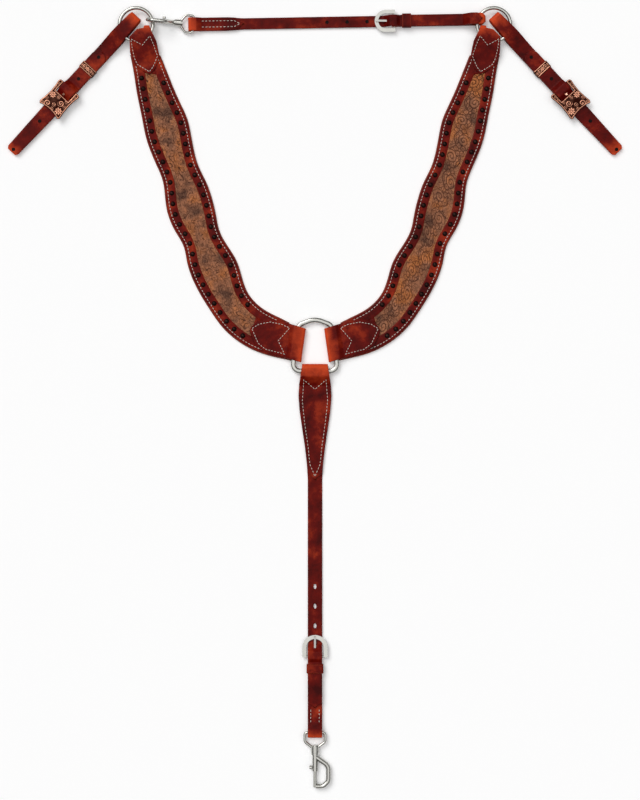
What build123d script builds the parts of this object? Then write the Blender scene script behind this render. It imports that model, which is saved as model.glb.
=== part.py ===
"""Western breastplate: a scalloped two-part collar, a neck strap, two buckled tugs and a tie-down.

It lies flat, face up. X runs across the horse's chest, Y from the tie-down up to the neck strap and Z up
from the surface it lies on. The origin is on that surface, midway between the two tugs, and midway between
the tops of the upper rings and the foot of the tie-down's hook.
"""
import os
from math import cos, radians, sin, sqrt

from build123d import *

os.makedirs("parts", exist_ok=True)

# Leather thicknesses
back_t = 3.0            # backing of the collar
face_t = 2.4            # carved border sewn on the backing
inlay_t = 1.2           # embossed hide under the border's window
tab_t = 2.4             # tabs, ring loops and flat straps
tug_t = 2.2             # the two tugs
keeper_t = 1.6          # leather keepers
air = 0.1               # gap between pieces that lie on each other
loose = 0.3             # gap between pieces that move

# Collar, left half: edges listed from the upper ring down to the middle ring
outer_edge = [(-285, 530), (-279, 500), (-274, 468), (-267, 434), (-260, 400), (-244, 358), (-234, 332),
              (-230.5, 305), (-226, 281), (-215, 256), (-202, 232), (-197, 209), (-189, 184), (-176, 158),
              (-161, 134), (-143, 109), (-117, 86), (-88, 70.5), (-55, 61), (-22, 54)]
inner_edge = [(-239, 530), (-231, 510), (-219, 480), (-208, 455), (-196.5, 429), (-191, 406), (-186.5, 382),
              (-179, 356), (-167, 331), (-158, 305), (-152.5, 282), (-147, 257), (-134, 233), (-119.5, 208),
              (-112, 184), (-103, 161), (-91, 146), (-77, 135), (-54, 123), (-29, 111), (-11, 104.5)]
window_inset = 17.5     # from the collar's edge to the window over the inlay
inlay_lap = 5.0         # how far the inlay runs under the border
window_top = 499.0
window_foot = -97.0
spot_inset = 11.0       # from the collar's edge to the middle of the spots
spot_r = 3.9
spot_h = 2.2
spot_pitch = 16.7
spot_rows = {"outer": (42.0, 27), "inner": (45.0, 23)}    # first spot along its row, and how many

# Upper rings
ring_x = 274.4
ring_y = 572.5
ring_wire_r = 2.9
ring_r = 25.7           # to the middle of the wire

# Middle ring: domed top, flat foot
middle_wire_w = 7.6
middle_wire_t = 5.0
middle_foot_y = 41.0
middle_foot_half = 35.0
middle_head_half = 25.0
middle_shoulder_y = 112.0
middle_top_y = 121.5
middle_radii = [10.5, 10.5, 9.0, 30.0, 9.0]

# Bolt snaps: sizes of the tie-down's, which the neck strap's smaller one scales
snap_eye_w = 35.7
snap_eye_wire_r = 2.25
snap_eye_run = 18.0     # straight sides of the eye
snap_hub_r = 6.3
snap_hub_l = 9.5
snap_neck_r = 2.3
snap_collar_r = 5.85
snap_collar_l = 3.2
snap_stem_r = 4.3
snap_stem_l = 25.0
snap_bolt_r = 2.55
snap_bolt_travel = 9.0
snap_hook_r = 3.7
snap_hook_out = 20.6    # from the stem's axis to the middle of the hook's back
snap_mouth = 15.0       # from the stem's end to the hook's tip
spring_wire_r = 0.35
neck_snap_scale = 0.84

# Round buckles: outer width, length from heel bar to the arc, band, strap width
tie_buckle = {"wide": 39.0, "long": 32.8, "band": 6.0}
neck_buckle = {"wide": 34.0, "long": 30.0, "band": 5.5}
buckle_t = 3.0
bar_r = 1.5
tongue_w = 3.0
tongue_t = 2.6

# Tie-down, places along Y
tie_w = 22.2
tie_fold_y = 52.0
tie_heel_y = -397.4
tie_tip_y = -476.0
tie_snap_fold_y = -522.4
tie_eye_y = -514.3
tie_tab_tip_y = -126.0
tie_holes = [-290.4, -320.7, -350.9]
hole_w = 4.9
hole_l = 8.6

# Neck strap, places along its own length from the fold at the snap
neck_w = 17.5
neck_end_w = 20.5
neck_start = (-195.0, 573.8)
neck_tilt = 0.97
neck_length = 457.0
neck_heel = 316.8
neck_tip = 451.5
neck_tab_tip = 85.7
neck_holes = [213.5, 244.3, 275.1]
neck_eye_at = 7.7
neck_snap_tilt = 6.0    # the snap hangs a little out of line with the strap
neck_snap_lean = 80.0   # its hook stands up round the ring

# Tugs, places along their own length from the fold in the ring
tug_fold = (-273.5, 586.0)
tug_angle = 227.1
tug_length = 284.0
tug_flex = 66.0         # where the leather bends below the ring
tug_heel = 153.0
tug_tip = 76.5
tug_keeper_at = 111.0
tug_plate = (168.0, 199.5)
tug_half = 12.0
tug_end_half = 10.2
tug_holes = [131.8, 220.9]

# Heights that follow from the thicknesses
face_top = back_t + face_t
tab_top = face_top + tab_t
lift = keeper_t + 0.2                       # straps lie this high where a keeper goes round them
eye_small_r = snap_eye_wire_r * neck_snap_scale
neck_axis_z = snap_hub_r * neck_snap_scale + air
ring_z = neck_axis_z + snap_bolt_r * neck_snap_scale + ring_wire_r + 0.15
middle_z = middle_wire_w / 2 + loose + tab_t

# The collar bends at its upper end along this line
flex_y = 530.0
flex_z = tab_top / 2
flex_gap = 1.2


def save(piece, name):
    """Label one finished piece and write its file."""
    piece.part.label = name
    export_step(piece.part, f"parts/{name}.step")


def mirrored(piece):
    """The right-hand twin of a left-hand piece."""
    with BuildPart() as twin:
        mirror(piece.part, about=Plane.YZ)
    return twin


def flat_plane(origin, angle):
    """A plane on the floor whose X axis points along a strap."""
    return Plane(origin=(origin[0], origin[1], 0), x_dir=(cos(radians(angle)), sin(radians(angle)), 0))


def side_plane(flat):
    """The upright plane through the middle of a strap: X along it, Y up."""
    return Plane(origin=flat.origin, x_dir=flat.x_dir, z_dir=flat.x_dir.cross(Vector(0, 0, 1)))


def folded_strap(flat, path, radii, thick, width):
    """A strap of one width, seen from the side as a thick bent line."""
    with BuildPart() as strap:
        with BuildSketch(side_plane(flat)):
            with BuildLine():
                FilletPolyline(*path, radius=radii)
            trace(line_width=thick)
        extrude(amount=width / 2, both=True)
    return strap


def inset_points(edge, distance, count=26):
    """Points at an even distance inside an edge curve; a positive distance is to the left of its run."""
    points = []
    for step in range(count):
        at = step / (count - 1)
        run = edge % at
        points.append(edge @ at + Vector(-run.Y, run.X) * distance)
    return points


# ---------------------------------------------------------------------------
# Collar
# ---------------------------------------------------------------------------

with BuildLine() as outer_line:
    Spline(*outer_edge)
with BuildLine() as inner_line:
    Spline(*inner_edge)
outer_curve = outer_line.edges()[0]
inner_curve = inner_line.edges()[0]

# The middle ring's sides, and the fold of the leather tab round each, lean by the same angle
side_lean = Vector(middle_head_half - middle_foot_half, middle_shoulder_y - middle_foot_y).normalized()
tab_fold_mid = (-17.6, 80.0)
tab_plane = Plane(origin=(tab_fold_mid[0], tab_fold_mid[1], 0), x_dir=(-side_lean.Y, -side_lean.X, 0))
tab_slot_end = 16.6     # from the fold to the collar's own end


def collar_sketch(inset_by):
    """Outline of the collar's left half, narrowed evenly on both edges."""
    with BuildSketch() as outline:
        with BuildLine():
            left = Spline(*inset_points(outer_curve, inset_by))
            right = Spline(*inset_points(inner_curve, -inset_by))
            Line(left @ 0, right @ 0)
            Line(left @ 1, right @ 1)
        make_face()
    return outline.sketch


def window_sketch(inset_by, lap):
    """Outline of the window, or of the inlay that laps under its edge."""
    with BuildSketch() as outline:
        add(collar_sketch(inset_by))
        with Locations((window_foot + lap - 200, window_top + lap - 400)):
            Rectangle(400, 800, mode=Mode.INTERSECT)
    return outline.sketch


# What is cut away to free the collar's two ends: the bend at the top, the ring and its tab at the foot
with BuildPart() as collar_trim:
    with BuildSketch(Plane.YZ):
        with Locations((flex_y, flex_z)):
            Circle(flex_z + flex_gap)
        with Locations((flex_y + 50, flex_z)):
            Rectangle(100, 60)
    extrude(amount=400, both=True)
    with BuildSketch(tab_plane):
        with Locations((tab_slot_end - 60, 0)):
            Rectangle(120, 160)
    extrude(amount=20)

with BuildPart() as collar_back_left:
    with BuildSketch():
        add(collar_sketch(0))
    extrude(amount=back_t)
    add(collar_trim.part, mode=Mode.SUBTRACT)

with BuildPart() as collar_border_left:
    with BuildSketch(Plane.XY.offset(back_t)):
        add(collar_sketch(0.8))
    extrude(amount=face_t)
    with BuildSketch(Plane.XY.offset(back_t)):
        add(window_sketch(window_inset, 0))
    extrude(amount=face_t, mode=Mode.SUBTRACT)
    with BuildSketch(Plane.XY.offset(back_t)):
        add(window_sketch(window_inset - inlay_lap, inlay_lap))
    extrude(amount=inlay_t, mode=Mode.SUBTRACT)
    add(collar_trim.part, mode=Mode.SUBTRACT)

with BuildPart() as collar_inlay_left:
    with BuildSketch(Plane.XY.offset(back_t)):
        add(window_sketch(window_inset - inlay_lap + air, inlay_lap - air))
    extrude(amount=inlay_t)

spot_ball_r = (spot_r ** 2 + spot_h ** 2) / (2 * spot_h)
with BuildPart() as collar_spots_left:
    for curve, side, row in ((outer_curve, 1, "outer"), (inner_curve, -1, "inner")):
        with BuildLine(mode=Mode.PRIVATE) as row_line:
            Spline(*inset_points(curve, side * spot_inset))
        row_curve = row_line.edges()[0]
        first, count = spot_rows[row]
        for index in range(count):
            spot = row_curve.position_at(first + index * spot_pitch, position_mode=PositionMode.LENGTH)
            with BuildSketch(Plane(origin=(spot.X, spot.Y, face_top), x_dir=(1, 0, 0), z_dir=(0, -1, 0))):
                with Locations((0, spot_h - spot_ball_r)):
                    Circle(spot_ball_r)
                with Locations((spot_r, spot_h / 2)):
                    Rectangle(2 * spot_r, spot_h, mode=Mode.INTERSECT)
            revolve(axis=Axis((spot.X, spot.Y, 0), (0, 0, 1)))

# Shield-shaped tab that ends the loop round the upper ring, below the bend
ring_tab_outline = [(-284, 530), (-280, 518), (-275, 509), (-263.5, 502), (-253.6, 496.7), (-245.5, 506),
                    (-239.6, 522), (-240, 530)]
with BuildPart() as ring_tab_left:
    with BuildSketch(Plane.XY.offset(face_top)):
        with BuildLine():
            Polyline(*ring_tab_outline, close=True)
        make_face()
    extrude(amount=tab_t)
    add(collar_trim.part, mode=Mode.SUBTRACT)

# Loop of the collar round the upper ring, above the bend
wire_top = ring_z + ring_wire_r
loop_high = wire_top + air + tab_t / 2
loop_low = tab_t / 2
loop_fold_y = 571.5
loop_outline = [(-284, flex_y - flex_z), (-284.5, 553), (-273, 565), (-263, 566.5), (-262, loop_fold_y),
                (-254.2, loop_fold_y), (-252.6, 566), (-244, 549), (-240, 530), (-240, flex_y - flex_z)]
with BuildPart() as ring_loop_left:
    with BuildSketch(Plane.YZ):
        with BuildLine():
            FilletPolyline((flex_y, tab_top - tab_t / 2), (flex_y + 4, tab_top - tab_t / 2),
                           (flex_y + 12, loop_high), (loop_fold_y - tab_t / 2, loop_high),
                           (loop_fold_y - tab_t / 2, loop_low), (flex_y, loop_low),
                           radius=[2, 3, 4.5, 4.5])
        trace(line_width=tab_t)
        with Locations((flex_y, flex_z)):
            Circle(flex_z)
        with Locations((flex_y + 2, flex_z)):
            Rectangle(4, tab_top)
    extrude(amount=400, both=True)
    with BuildSketch():
        with BuildLine():
            Polyline(*loop_outline, close=True)
        make_face()
    extrude(amount=40, mode=Mode.INTERSECT)

# Tab of the collar round the side of the middle ring
middle_tab_outline = [(-11.8, 105.4), (-49, 117), (-69.5, 121.5), (-90, 117.5), (-101.5, 104.5), (-91, 79.5),
                      (-78, 71), (-45, 61), (-21, 54.2), (-10, 60)]
middle_top = middle_z + middle_wire_t / 2
middle_tab_high = middle_top + air + tab_t / 2
with BuildPart() as middle_tab_left:
    with BuildSketch(side_plane(tab_plane)):
        with BuildLine():
            FilletPolyline((tab_slot_end - 0.3, tab_t / 2), (tab_t / 2, tab_t / 2),
                           (tab_t / 2, middle_tab_high), (tab_slot_end + 1, middle_tab_high),
                           (tab_slot_end + 8, face_top + tab_t / 2), (110, face_top + tab_t / 2),
                           radius=[3.5, 3.5, 3, 3])
        trace(line_width=tab_t)
    extrude(amount=70, both=True)
    with BuildSketch():
        with BuildLine():
            Polyline(*middle_tab_outline, close=True)
        make_face()
    extrude(amount=30, mode=Mode.INTERSECT)

for piece, name in ((collar_back_left, "collar_back"), (collar_border_left, "collar_border"),
                    (collar_inlay_left, "collar_inlay"), (collar_spots_left, "collar_spots"),
                    (ring_tab_left, "ring_tab"), (ring_loop_left, "ring_loop"),
                    (middle_tab_left, "middle_tab")):
    save(piece, f"{name}_left")
    save(mirrored(piece), f"{name}_right")

# ---------------------------------------------------------------------------
# Rings
# ---------------------------------------------------------------------------

with BuildPart() as middle_ring:
    with BuildLine() as middle_path:
        FilletPolyline((-middle_foot_half, middle_foot_y, middle_z),
                       (middle_foot_half, middle_foot_y, middle_z),
                       (middle_head_half, middle_shoulder_y, middle_z), (0, middle_top_y, middle_z),
                       (-middle_head_half, middle_shoulder_y, middle_z), radius=middle_radii, close=True)
    with BuildSketch(Plane(origin=(0, middle_foot_y, middle_z), x_dir=(0, 1, 0), z_dir=(1, 0, 0))):
        Ellipse(middle_wire_w / 2, middle_wire_t / 2)
    sweep(path=middle_path.wires()[0])
save(middle_ring, "middle_ring")

with BuildPart() as ring_left:
    with BuildSketch(Plane(origin=(-ring_x, ring_y, ring_z), x_dir=(1, 0, 0), z_dir=(0, -1, 0))):
        with Locations((ring_r, 0)):
            Circle(ring_wire_r)
    revolve(axis=Axis((-ring_x, ring_y, 0), (0, 0, 1)))
save(ring_left, "ring_left")
save(mirrored(ring_left), "ring_right")

# ---------------------------------------------------------------------------
# Bolt snaps
# ---------------------------------------------------------------------------


def make_snap(name, eye_plane, body_plane, knob_side, scale):
    """Write the four pieces of one snap; the eye lies in its own plane, the body in the hook's.

    The bolt's thumb knob stands out of a slot on the side that knob_side points to.
    """
    knob_plane = Plane(origin=body_plane.origin, x_dir=-knob_side, z_dir=(-knob_side).cross(body_plane.y_dir))
    wire = snap_eye_wire_r * scale
    half = snap_eye_w / 2 * scale - wire
    run = snap_eye_run * scale
    hub_near = -run - 3.0 * scale
    hub_far = hub_near - snap_hub_l * scale
    neck_r = snap_neck_r * scale
    with BuildPart() as eye:
        with BuildLine(eye_plane) as eye_path:
            FilletPolyline((-4 * scale, hub_near - 2 * scale), (-half, -run * 0.8), (-half, 0), (half, 0),
                           (half, -run * 0.8), (4 * scale, hub_near - 2 * scale),
                           radius=[6 * scale, 4 * scale, 4 * scale, 6 * scale])
        path = eye_path.wires()[0]
        with BuildSketch(Plane(origin=path @ 0, z_dir=path % 0)):
            Circle(wire)
        sweep(path=path)
        with BuildSketch(Plane(origin=eye_plane.from_local_coords((0, hub_far, 0)), z_dir=eye_plane.y_dir)):
            Circle(snap_hub_r * scale)
            Circle(neck_r + 0.05, mode=Mode.SUBTRACT)
        extrude(amount=snap_hub_l * scale * 0.55)
        with BuildSketch(Plane(origin=eye_plane.from_local_coords((0, hub_near, 0)), z_dir=-eye_plane.y_dir)):
            Circle(snap_hub_r * scale)
            Circle(neck_r * 1.7, mode=Mode.SUBTRACT)
        extrude(amount=snap_hub_l * scale * 0.45)
        with BuildSketch(Plane(origin=eye_plane.from_local_coords((0, hub_near, 0)), z_dir=eye_plane.y_dir)):
            Circle(snap_hub_r * scale * 0.8)
        extrude(amount=1.6 * scale)
    save(eye, f"{name}_eye")

    collar_at = hub_far - 0.4
    stem_at = collar_at - snap_collar_l * scale
    stem_end = stem_at - snap_stem_l * scale
    tip_at = stem_end - snap_mouth * scale
    bore_r = snap_bolt_r * scale + 0.08
    out = snap_hook_out * scale
    hook_r = snap_hook_r * scale
    turn_at = tip_at - 8.5 * scale

    def section(at):
        """A plane square to the snap's axis."""
        return Plane(origin=body_plane.from_local_coords((0, at, 0)), x_dir=body_plane.x_dir,
                     z_dir=body_plane.y_dir)

    with BuildPart() as body:
        with BuildSketch(section(stem_at)):
            Circle(snap_collar_r * scale)
        extrude(amount=snap_collar_l * scale)
        with BuildSketch(section(collar_at)):
            Circle(neck_r)
        extrude(amount=snap_hub_l * scale * 0.55 + 0.6)
        with BuildSketch(section(collar_at + snap_hub_l * scale * 0.55 + 0.6)):
            Circle(neck_r * 1.5)
        extrude(amount=1.2 * scale)
        with BuildSketch(section(stem_end)):
            Circle(snap_stem_r * scale)
        extrude(amount=snap_stem_l * scale)
        with BuildLine(body_plane) as hook_path:
            FilletPolyline((1.5 * scale, stem_at - 3.5 * scale), (out, stem_end + 8 * scale),
                           (out, turn_at + 8 * scale), (out * 0.62, turn_at), (1.2 * scale, turn_at),
                           radius=[12 * scale, 9 * scale, 9 * scale])
        path = hook_path.wires()[0]
        with BuildSketch(Plane(origin=path @ 0, z_dir=path % 0)):
            Circle(hook_r)
        sweep(path=path)
        with BuildSketch(section(turn_at - 1.5 * scale)):
            Circle(snap_bolt_r * scale)
        extrude(amount=tip_at - turn_at + 1.5 * scale - 0.05)
        with BuildSketch(section(stem_end)):
            Circle(bore_r)
        extrude(amount=(snap_stem_l - 3) * scale, mode=Mode.SUBTRACT)
        with BuildSketch(knob_plane):
            with Locations((-5 * scale, stem_end + 10 * scale)):
                Rectangle(10 * scale, 20 * scale)
        extrude(amount=1.4 * scale, both=True, mode=Mode.SUBTRACT)
    save(body, f"{name}_body")

    bolt_back = stem_end + 9 * scale
    with BuildPart() as bolt:
        with BuildSketch(section(tip_at)):
            Circle(snap_bolt_r * scale)
        extrude(amount=bolt_back - tip_at)
        with BuildSketch(Plane(origin=body_plane.from_local_coords((0, stem_end + 5.5 * scale, 0)),
                               z_dir=knob_side)):
            Circle(1.25 * scale)
        extrude(amount=6 * scale)
        with BuildSketch(Plane(origin=knob_plane.from_local_coords((-4.9 * scale, stem_end + 5.5 * scale, 0)),
                               z_dir=knob_side)):
            Circle(2.9 * scale)
        extrude(amount=3.6 * scale)
    save(bolt, f"{name}_bolt")

    spring_from = bolt_back + 0.1
    spring_to = stem_end + (snap_stem_l - 3) * scale - 0.1
    with BuildPart() as spring:
        with BuildLine() as coil:
            Helix(pitch=(spring_to - spring_from - 1) / 5, height=spring_to - spring_from - 1,
                  radius=bore_r - 0.7,
                  center=body_plane.from_local_coords((0, spring_from + 0.5, 0)), direction=body_plane.y_dir)
        path = coil.wires()[0]
        with BuildSketch(Plane(origin=path @ 0, z_dir=path % 0)):
            Circle(spring_wire_r)
        sweep(path=path, is_frenet=True)
    save(spring, f"{name}_spring")


# ---------------------------------------------------------------------------
# Round buckle, its strap ends and its keeper; the plane's X axis runs from the heel bar to the arc
# ---------------------------------------------------------------------------

strap_low = lift + tab_t / 2
strap_mid = strap_low + tab_t + air
strap_high = strap_mid + tab_t + air
bar_wrap = bar_r + air + tab_t / 2
heel_z = strap_low + bar_wrap
wrap_high = heel_z + bar_wrap
billet_high = wrap_high + tab_t + air
floor_low = tab_t / 2


def make_buckle(name, flat, size):
    """Frame with its heel bar, and the tongue that turns on the bar."""
    wide, long, band = size["wide"], size["long"], size["band"]
    arc_at = long - wide / 2
    with BuildPart() as frame:
        with BuildSketch(flat.offset(heel_z - buckle_t / 2)):
            with Locations((arc_at, 0)):
                Circle(wide / 2)
            with Locations(((arc_at - bar_r) / 2, 0)):
                Rectangle(arc_at + bar_r, wide)
            with Locations((arc_at, 0)):
                Circle(wide / 2 - band, mode=Mode.SUBTRACT)
            with Locations(((arc_at - 20) / 2, 0)):
                Rectangle(arc_at + 20, wide - 2 * band, mode=Mode.SUBTRACT)
        extrude(amount=buckle_t)
        with BuildSketch(side_plane(flat)):
            with Locations((0, heel_z)):
                Circle(bar_r)
        extrude(amount=wide / 2 - band / 2, both=True)
    save(frame, f"{name}_buckle")
    with BuildPart() as tongue:
        with BuildSketch(side_plane(flat)):
            with BuildLine():
                Polyline((bar_r + 1.2, heel_z),
                         (long - band / 2 + 1, heel_z + buckle_t / 2 + tongue_t / 2 + 0.8))
            trace(line_width=tongue_t)
            with Locations((0, heel_z)):
                Circle(bar_r + 1.4)
                Circle(bar_r + 0.05, mode=Mode.SUBTRACT)
        extrude(amount=tongue_w / 2, both=True)
    save(tongue, f"{name}_tongue")


def make_keeper(name, flat, at, long, width, high, wall):
    """A band round the whole stack of a strap, which slides along it."""
    with BuildPart() as keeper:
        with BuildSketch(Plane(origin=flat.from_local_coords((at, 0, 0)), x_dir=flat.y_dir,
                               z_dir=flat.x_dir)):
            with Locations((0, (high + lift) / 2)):
                RectangleRounded(width + 2 * (loose + wall), high - lift + 2 * (0.15 + wall), wall + 0.6)
                RectangleRounded(width + 2 * loose, high - lift + 2 * 0.15, 0.6, mode=Mode.SUBTRACT)
        extrude(amount=long)
    save(keeper, name)


# ---------------------------------------------------------------------------
# Tie-down
# ---------------------------------------------------------------------------

tie_plane = Plane(origin=(0, tie_heel_y, 0), x_dir=(0, 1, 0))
middle_bar_y = middle_foot_y
tie_loop_high = middle_z + middle_wire_w / 2 + loose + tab_t / 2
tie_fold_at = tie_fold_y - tie_heel_y
tie_bar_at = middle_bar_y - tie_heel_y
tie_tip_at = tie_tip_y - tie_heel_y
tie_sides = [(19.5, tie_fold_y), (24.5, 20), (25.5, 2), (23.5, -22), (20, -46), (15.5, -76), (12.4, -104),
             (tie_w / 2, tie_tab_tip_y)]


def cut_holes(flat, places, width, long):
    """Oval holes through a strap, for the part under way to take away."""
    with BuildPart() as punches:
        for place in places:
            with BuildSketch(flat):
                with Locations((place, 0)):
                    SlotOverall(long, width)
            extrude(amount=40)
    return punches.part


def sectioned(strap, flat, places):
    """The same strap cut square across into runs that meet face to face, because it bends round open space."""
    with BuildPart() as runs:
        add(strap.part)
        for place in places:
            split(bisect_by=Plane(origin=flat.from_local_coords((place, 0, 0)), z_dir=flat.x_dir),
                  keep=Keep.BOTH)
    return runs


def pointed_end(flat, tip_at, width, away):
    """What is cut off a strap end to leave it pointed."""
    with BuildPart() as waste:
        with BuildSketch(flat):
            with BuildLine():
                Polyline((tip_at, 0), (tip_at + away * width * 0.75, width), (tip_at - away * 30, width),
                         (tip_at - away * 30, -width), (tip_at + away * width * 0.75, -width), close=True)
            make_face()
        extrude(amount=40)
    return waste.part


tongue_hole_at = 12.8    # where the tongue comes up through the rising strap


def rise_at(size, strap_w):
    """Where a strap starts to rise, clear of the buckle's arc at its own edges."""
    inner_r = size["wide"] / 2 - size["band"]
    return size["long"] - size["wide"] / 2 + sqrt(inner_r ** 2 - (strap_w / 2) ** 2) - 1.5

with BuildPart() as tie_down_strap:
    with BuildSketch(side_plane(tie_plane)):
        with BuildLine():
            FilletPolyline((tie_tab_tip_y - tie_heel_y, floor_low + tab_t + air),
                           (tie_bar_at - 22, floor_low + tab_t + air), (tie_bar_at - 8, tie_loop_high),
                           (tie_fold_at - tab_t / 2, tie_loop_high), (tie_fold_at - tab_t / 2, floor_low),
                           (tie_tab_tip_y - tie_heel_y - 20, floor_low),
                           (tie_buckle["long"] + 6, strap_low), (rise_at(tie_buckle, tie_w), strap_low),
                           (6.5, billet_high), (-3.2, billet_high), (-8.4, strap_high),
                           (tie_tip_at, strap_high),
                           radius=[6, 6, 5.1, 5.1, 20, 20, 5, 3, 3, 3])
        trace(line_width=tab_t)
    extrude(amount=60, both=True)
    with BuildSketch():
        with BuildLine():
            tie_edge = Spline(*tie_sides)
            tie_edge_2 = Spline(*[(-x, y) for x, y in tie_sides])
            Line(tie_edge @ 0, tie_edge_2 @ 0)
            Line(tie_edge @ 1, tie_edge_2 @ 1)
        make_face()
        with Locations((0, (tie_tab_tip_y + tie_tip_y) / 2)):
            Rectangle(tie_w, tie_tab_tip_y - tie_tip_y)
    extrude(amount=40, mode=Mode.INTERSECT)
    add(cut_holes(tie_plane, [y - tie_heel_y for y in tie_holes], hole_w, hole_l), mode=Mode.SUBTRACT)
    add(cut_holes(tie_plane, [tongue_hole_at], hole_w, 14), mode=Mode.SUBTRACT)
    add(pointed_end(tie_plane, tie_tip_at, tie_w, 1), mode=Mode.SUBTRACT)
tie_runs = [tie_tab_tip_y - tie_heel_y, tie_buckle["long"] + 6]
save(sectioned(tie_down_strap, tie_plane, tie_runs), "tie_down_strap")
make_buckle("tie_down", tie_plane, tie_buckle)

tie_snap_fold_at = tie_snap_fold_y - tie_heel_y
tie_eye_at = tie_eye_y - tie_heel_y
tie_eye_z = lift + tab_t + air + snap_eye_wire_r
tie_eye_high = tie_eye_z + snap_eye_wire_r + air + tab_t / 2
with BuildPart() as tie_down_snap_strap:
    with BuildSketch(side_plane(tie_plane)):
        with BuildLine():
            FilletPolyline((-40, strap_mid), (-7.6, strap_mid), (-2.4, wrap_high), (bar_wrap, wrap_high),
                           (bar_wrap, strap_low), (tie_snap_fold_at + tab_t / 2, strap_low),
                           (tie_snap_fold_at + tab_t / 2, tie_eye_high), (tie_eye_at + 6, tie_eye_high),
                           (tie_eye_at + 16, strap_mid), (-40.6, strap_mid),
                           radius=[3, 2.4, bar_wrap - 0.05, bar_wrap - 0.05, 2.9, 2.9, 4, 4])
        trace(line_width=tab_t)
    extrude(amount=tie_w / 2, both=True)
    with BuildSketch(tie_plane):
        Rectangle(16, tongue_w + 1.2)
    extrude(amount=40, mode=Mode.SUBTRACT)
save(tie_down_snap_strap, "tie_down_snap_strap")
make_keeper("tie_down_keeper", tie_plane, -26, 14, tie_w, strap_high + tab_t / 2, keeper_t)

snap_at = (0, tie_eye_y, tie_eye_z)
tie_snap_plane = Plane(origin=snap_at, x_dir=(1, 0, 0), z_dir=(0, 0, 1))
make_snap("tie_down_snap", tie_snap_plane, tie_snap_plane, Vector(-1, 0, 0), 1.0)

# ---------------------------------------------------------------------------
# Neck strap: the plane's X axis runs from its buckle back towards the snap, so places count down from the heel
# ---------------------------------------------------------------------------

neck_flat = flat_plane(neck_start, neck_tilt)
neck_plane = Plane(origin=neck_flat.from_local_coords((neck_heel, 0, 0)), x_dir=-neck_flat.x_dir)
eye_low = neck_axis_z - eye_small_r - air - tab_t / 2
eye_high = neck_axis_z + eye_small_r + air + tab_t / 2
ring_fold_high = wire_top + air + tab_t / 2
neck_fold_at = neck_heel - neck_length + tab_t / 2
with BuildPart() as neck_strap:
    with BuildSketch(side_plane(neck_plane)):
        with BuildLine():
            FilletPolyline((neck_heel - neck_tab_tip, eye_low + tab_t + air),
                           (neck_heel - neck_eye_at - 14, eye_low + tab_t + air),
                           (neck_heel - neck_eye_at - 5, eye_high), (neck_heel - tab_t / 2, eye_high),
                           (neck_heel - tab_t / 2, eye_low), (neck_heel - neck_tab_tip - 20, eye_low),
                           (neck_buckle["long"] + 6, strap_low), (rise_at(neck_buckle, neck_w), strap_low),
                           (6.5, billet_high), (-3.2, billet_high), (-8.4, strap_high),
                           (neck_fold_at + 34, strap_high), (neck_fold_at + 22, ring_fold_high + tab_t + air),
                           (neck_heel - neck_tip, ring_fold_high + tab_t + air),
                           radius=[4, 4, 3, 3, 20, 20, 5, 3, 3, 3, 4, 4])
        trace(line_width=tab_t)
    extrude(amount=40, both=True)
    with BuildSketch(neck_plane):
        with BuildLine():
            Polyline((neck_heel + 1, neck_end_w / 2), (neck_heel - neck_tab_tip + 25, neck_end_w / 2),
                     (neck_heel - neck_tab_tip, neck_w / 2), (-neck_length, neck_w / 2),
                     (-neck_length, -neck_w / 2), (neck_heel - neck_tab_tip, -neck_w / 2),
                     (neck_heel - neck_tab_tip + 25, -neck_end_w / 2), (neck_heel + 1, -neck_end_w / 2),
                     close=True)
        make_face()
    extrude(amount=40, mode=Mode.INTERSECT)
    add(cut_holes(neck_plane, [neck_heel - at for at in neck_holes], hole_w, hole_l), mode=Mode.SUBTRACT)
    add(cut_holes(neck_plane, [tongue_hole_at], hole_w, 14), mode=Mode.SUBTRACT)
    add(pointed_end(neck_plane, neck_heel - neck_tip, neck_w, 1), mode=Mode.SUBTRACT)
neck_runs = [neck_heel - neck_tab_tip, neck_buckle["long"] + 6]
save(sectioned(neck_strap, neck_plane, neck_runs), "neck_strap")
make_buckle("neck", neck_plane, neck_buckle)

with BuildPart() as neck_ring_strap:
    with BuildSketch(side_plane(neck_plane)):
        with BuildLine():
            FilletPolyline((-60, strap_mid), (-7.6, strap_mid), (-2.4, wrap_high), (bar_wrap, wrap_high),
                           (bar_wrap, strap_low), (neck_fold_at, strap_low), (neck_fold_at, ring_fold_high),
                           (neck_fold_at + 19, ring_fold_high), (neck_fold_at + 31, strap_mid),
                           (-60.6, strap_mid),
                           radius=[3, 2.4, bar_wrap - 0.05, bar_wrap - 0.05, 5, 5, 4, 4])
        trace(line_width=tab_t)
    extrude(amount=neck_w / 2, both=True)
    with BuildSketch(neck_plane):
        with BuildLine():
            Polyline((10, neck_w / 2 + 1), (neck_fold_at + 5, neck_w / 2 + 1),
                     (neck_fold_at - 2, neck_w / 2 - 5.5),
                     (neck_fold_at - 2, 5.5 - neck_w / 2), (neck_fold_at + 5, -neck_w / 2 - 1),
                     (10, -neck_w / 2 - 1), close=True)
        make_face()
    extrude(amount=40, mode=Mode.INTERSECT)
    with BuildSketch(neck_plane):
        Rectangle(16, tongue_w + 1.2)
    extrude(amount=40, mode=Mode.SUBTRACT)
save(neck_ring_strap, "neck_ring_strap")
make_keeper("neck_keeper", neck_plane, -26, 14, neck_w, strap_high + tab_t / 2, keeper_t)

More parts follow.
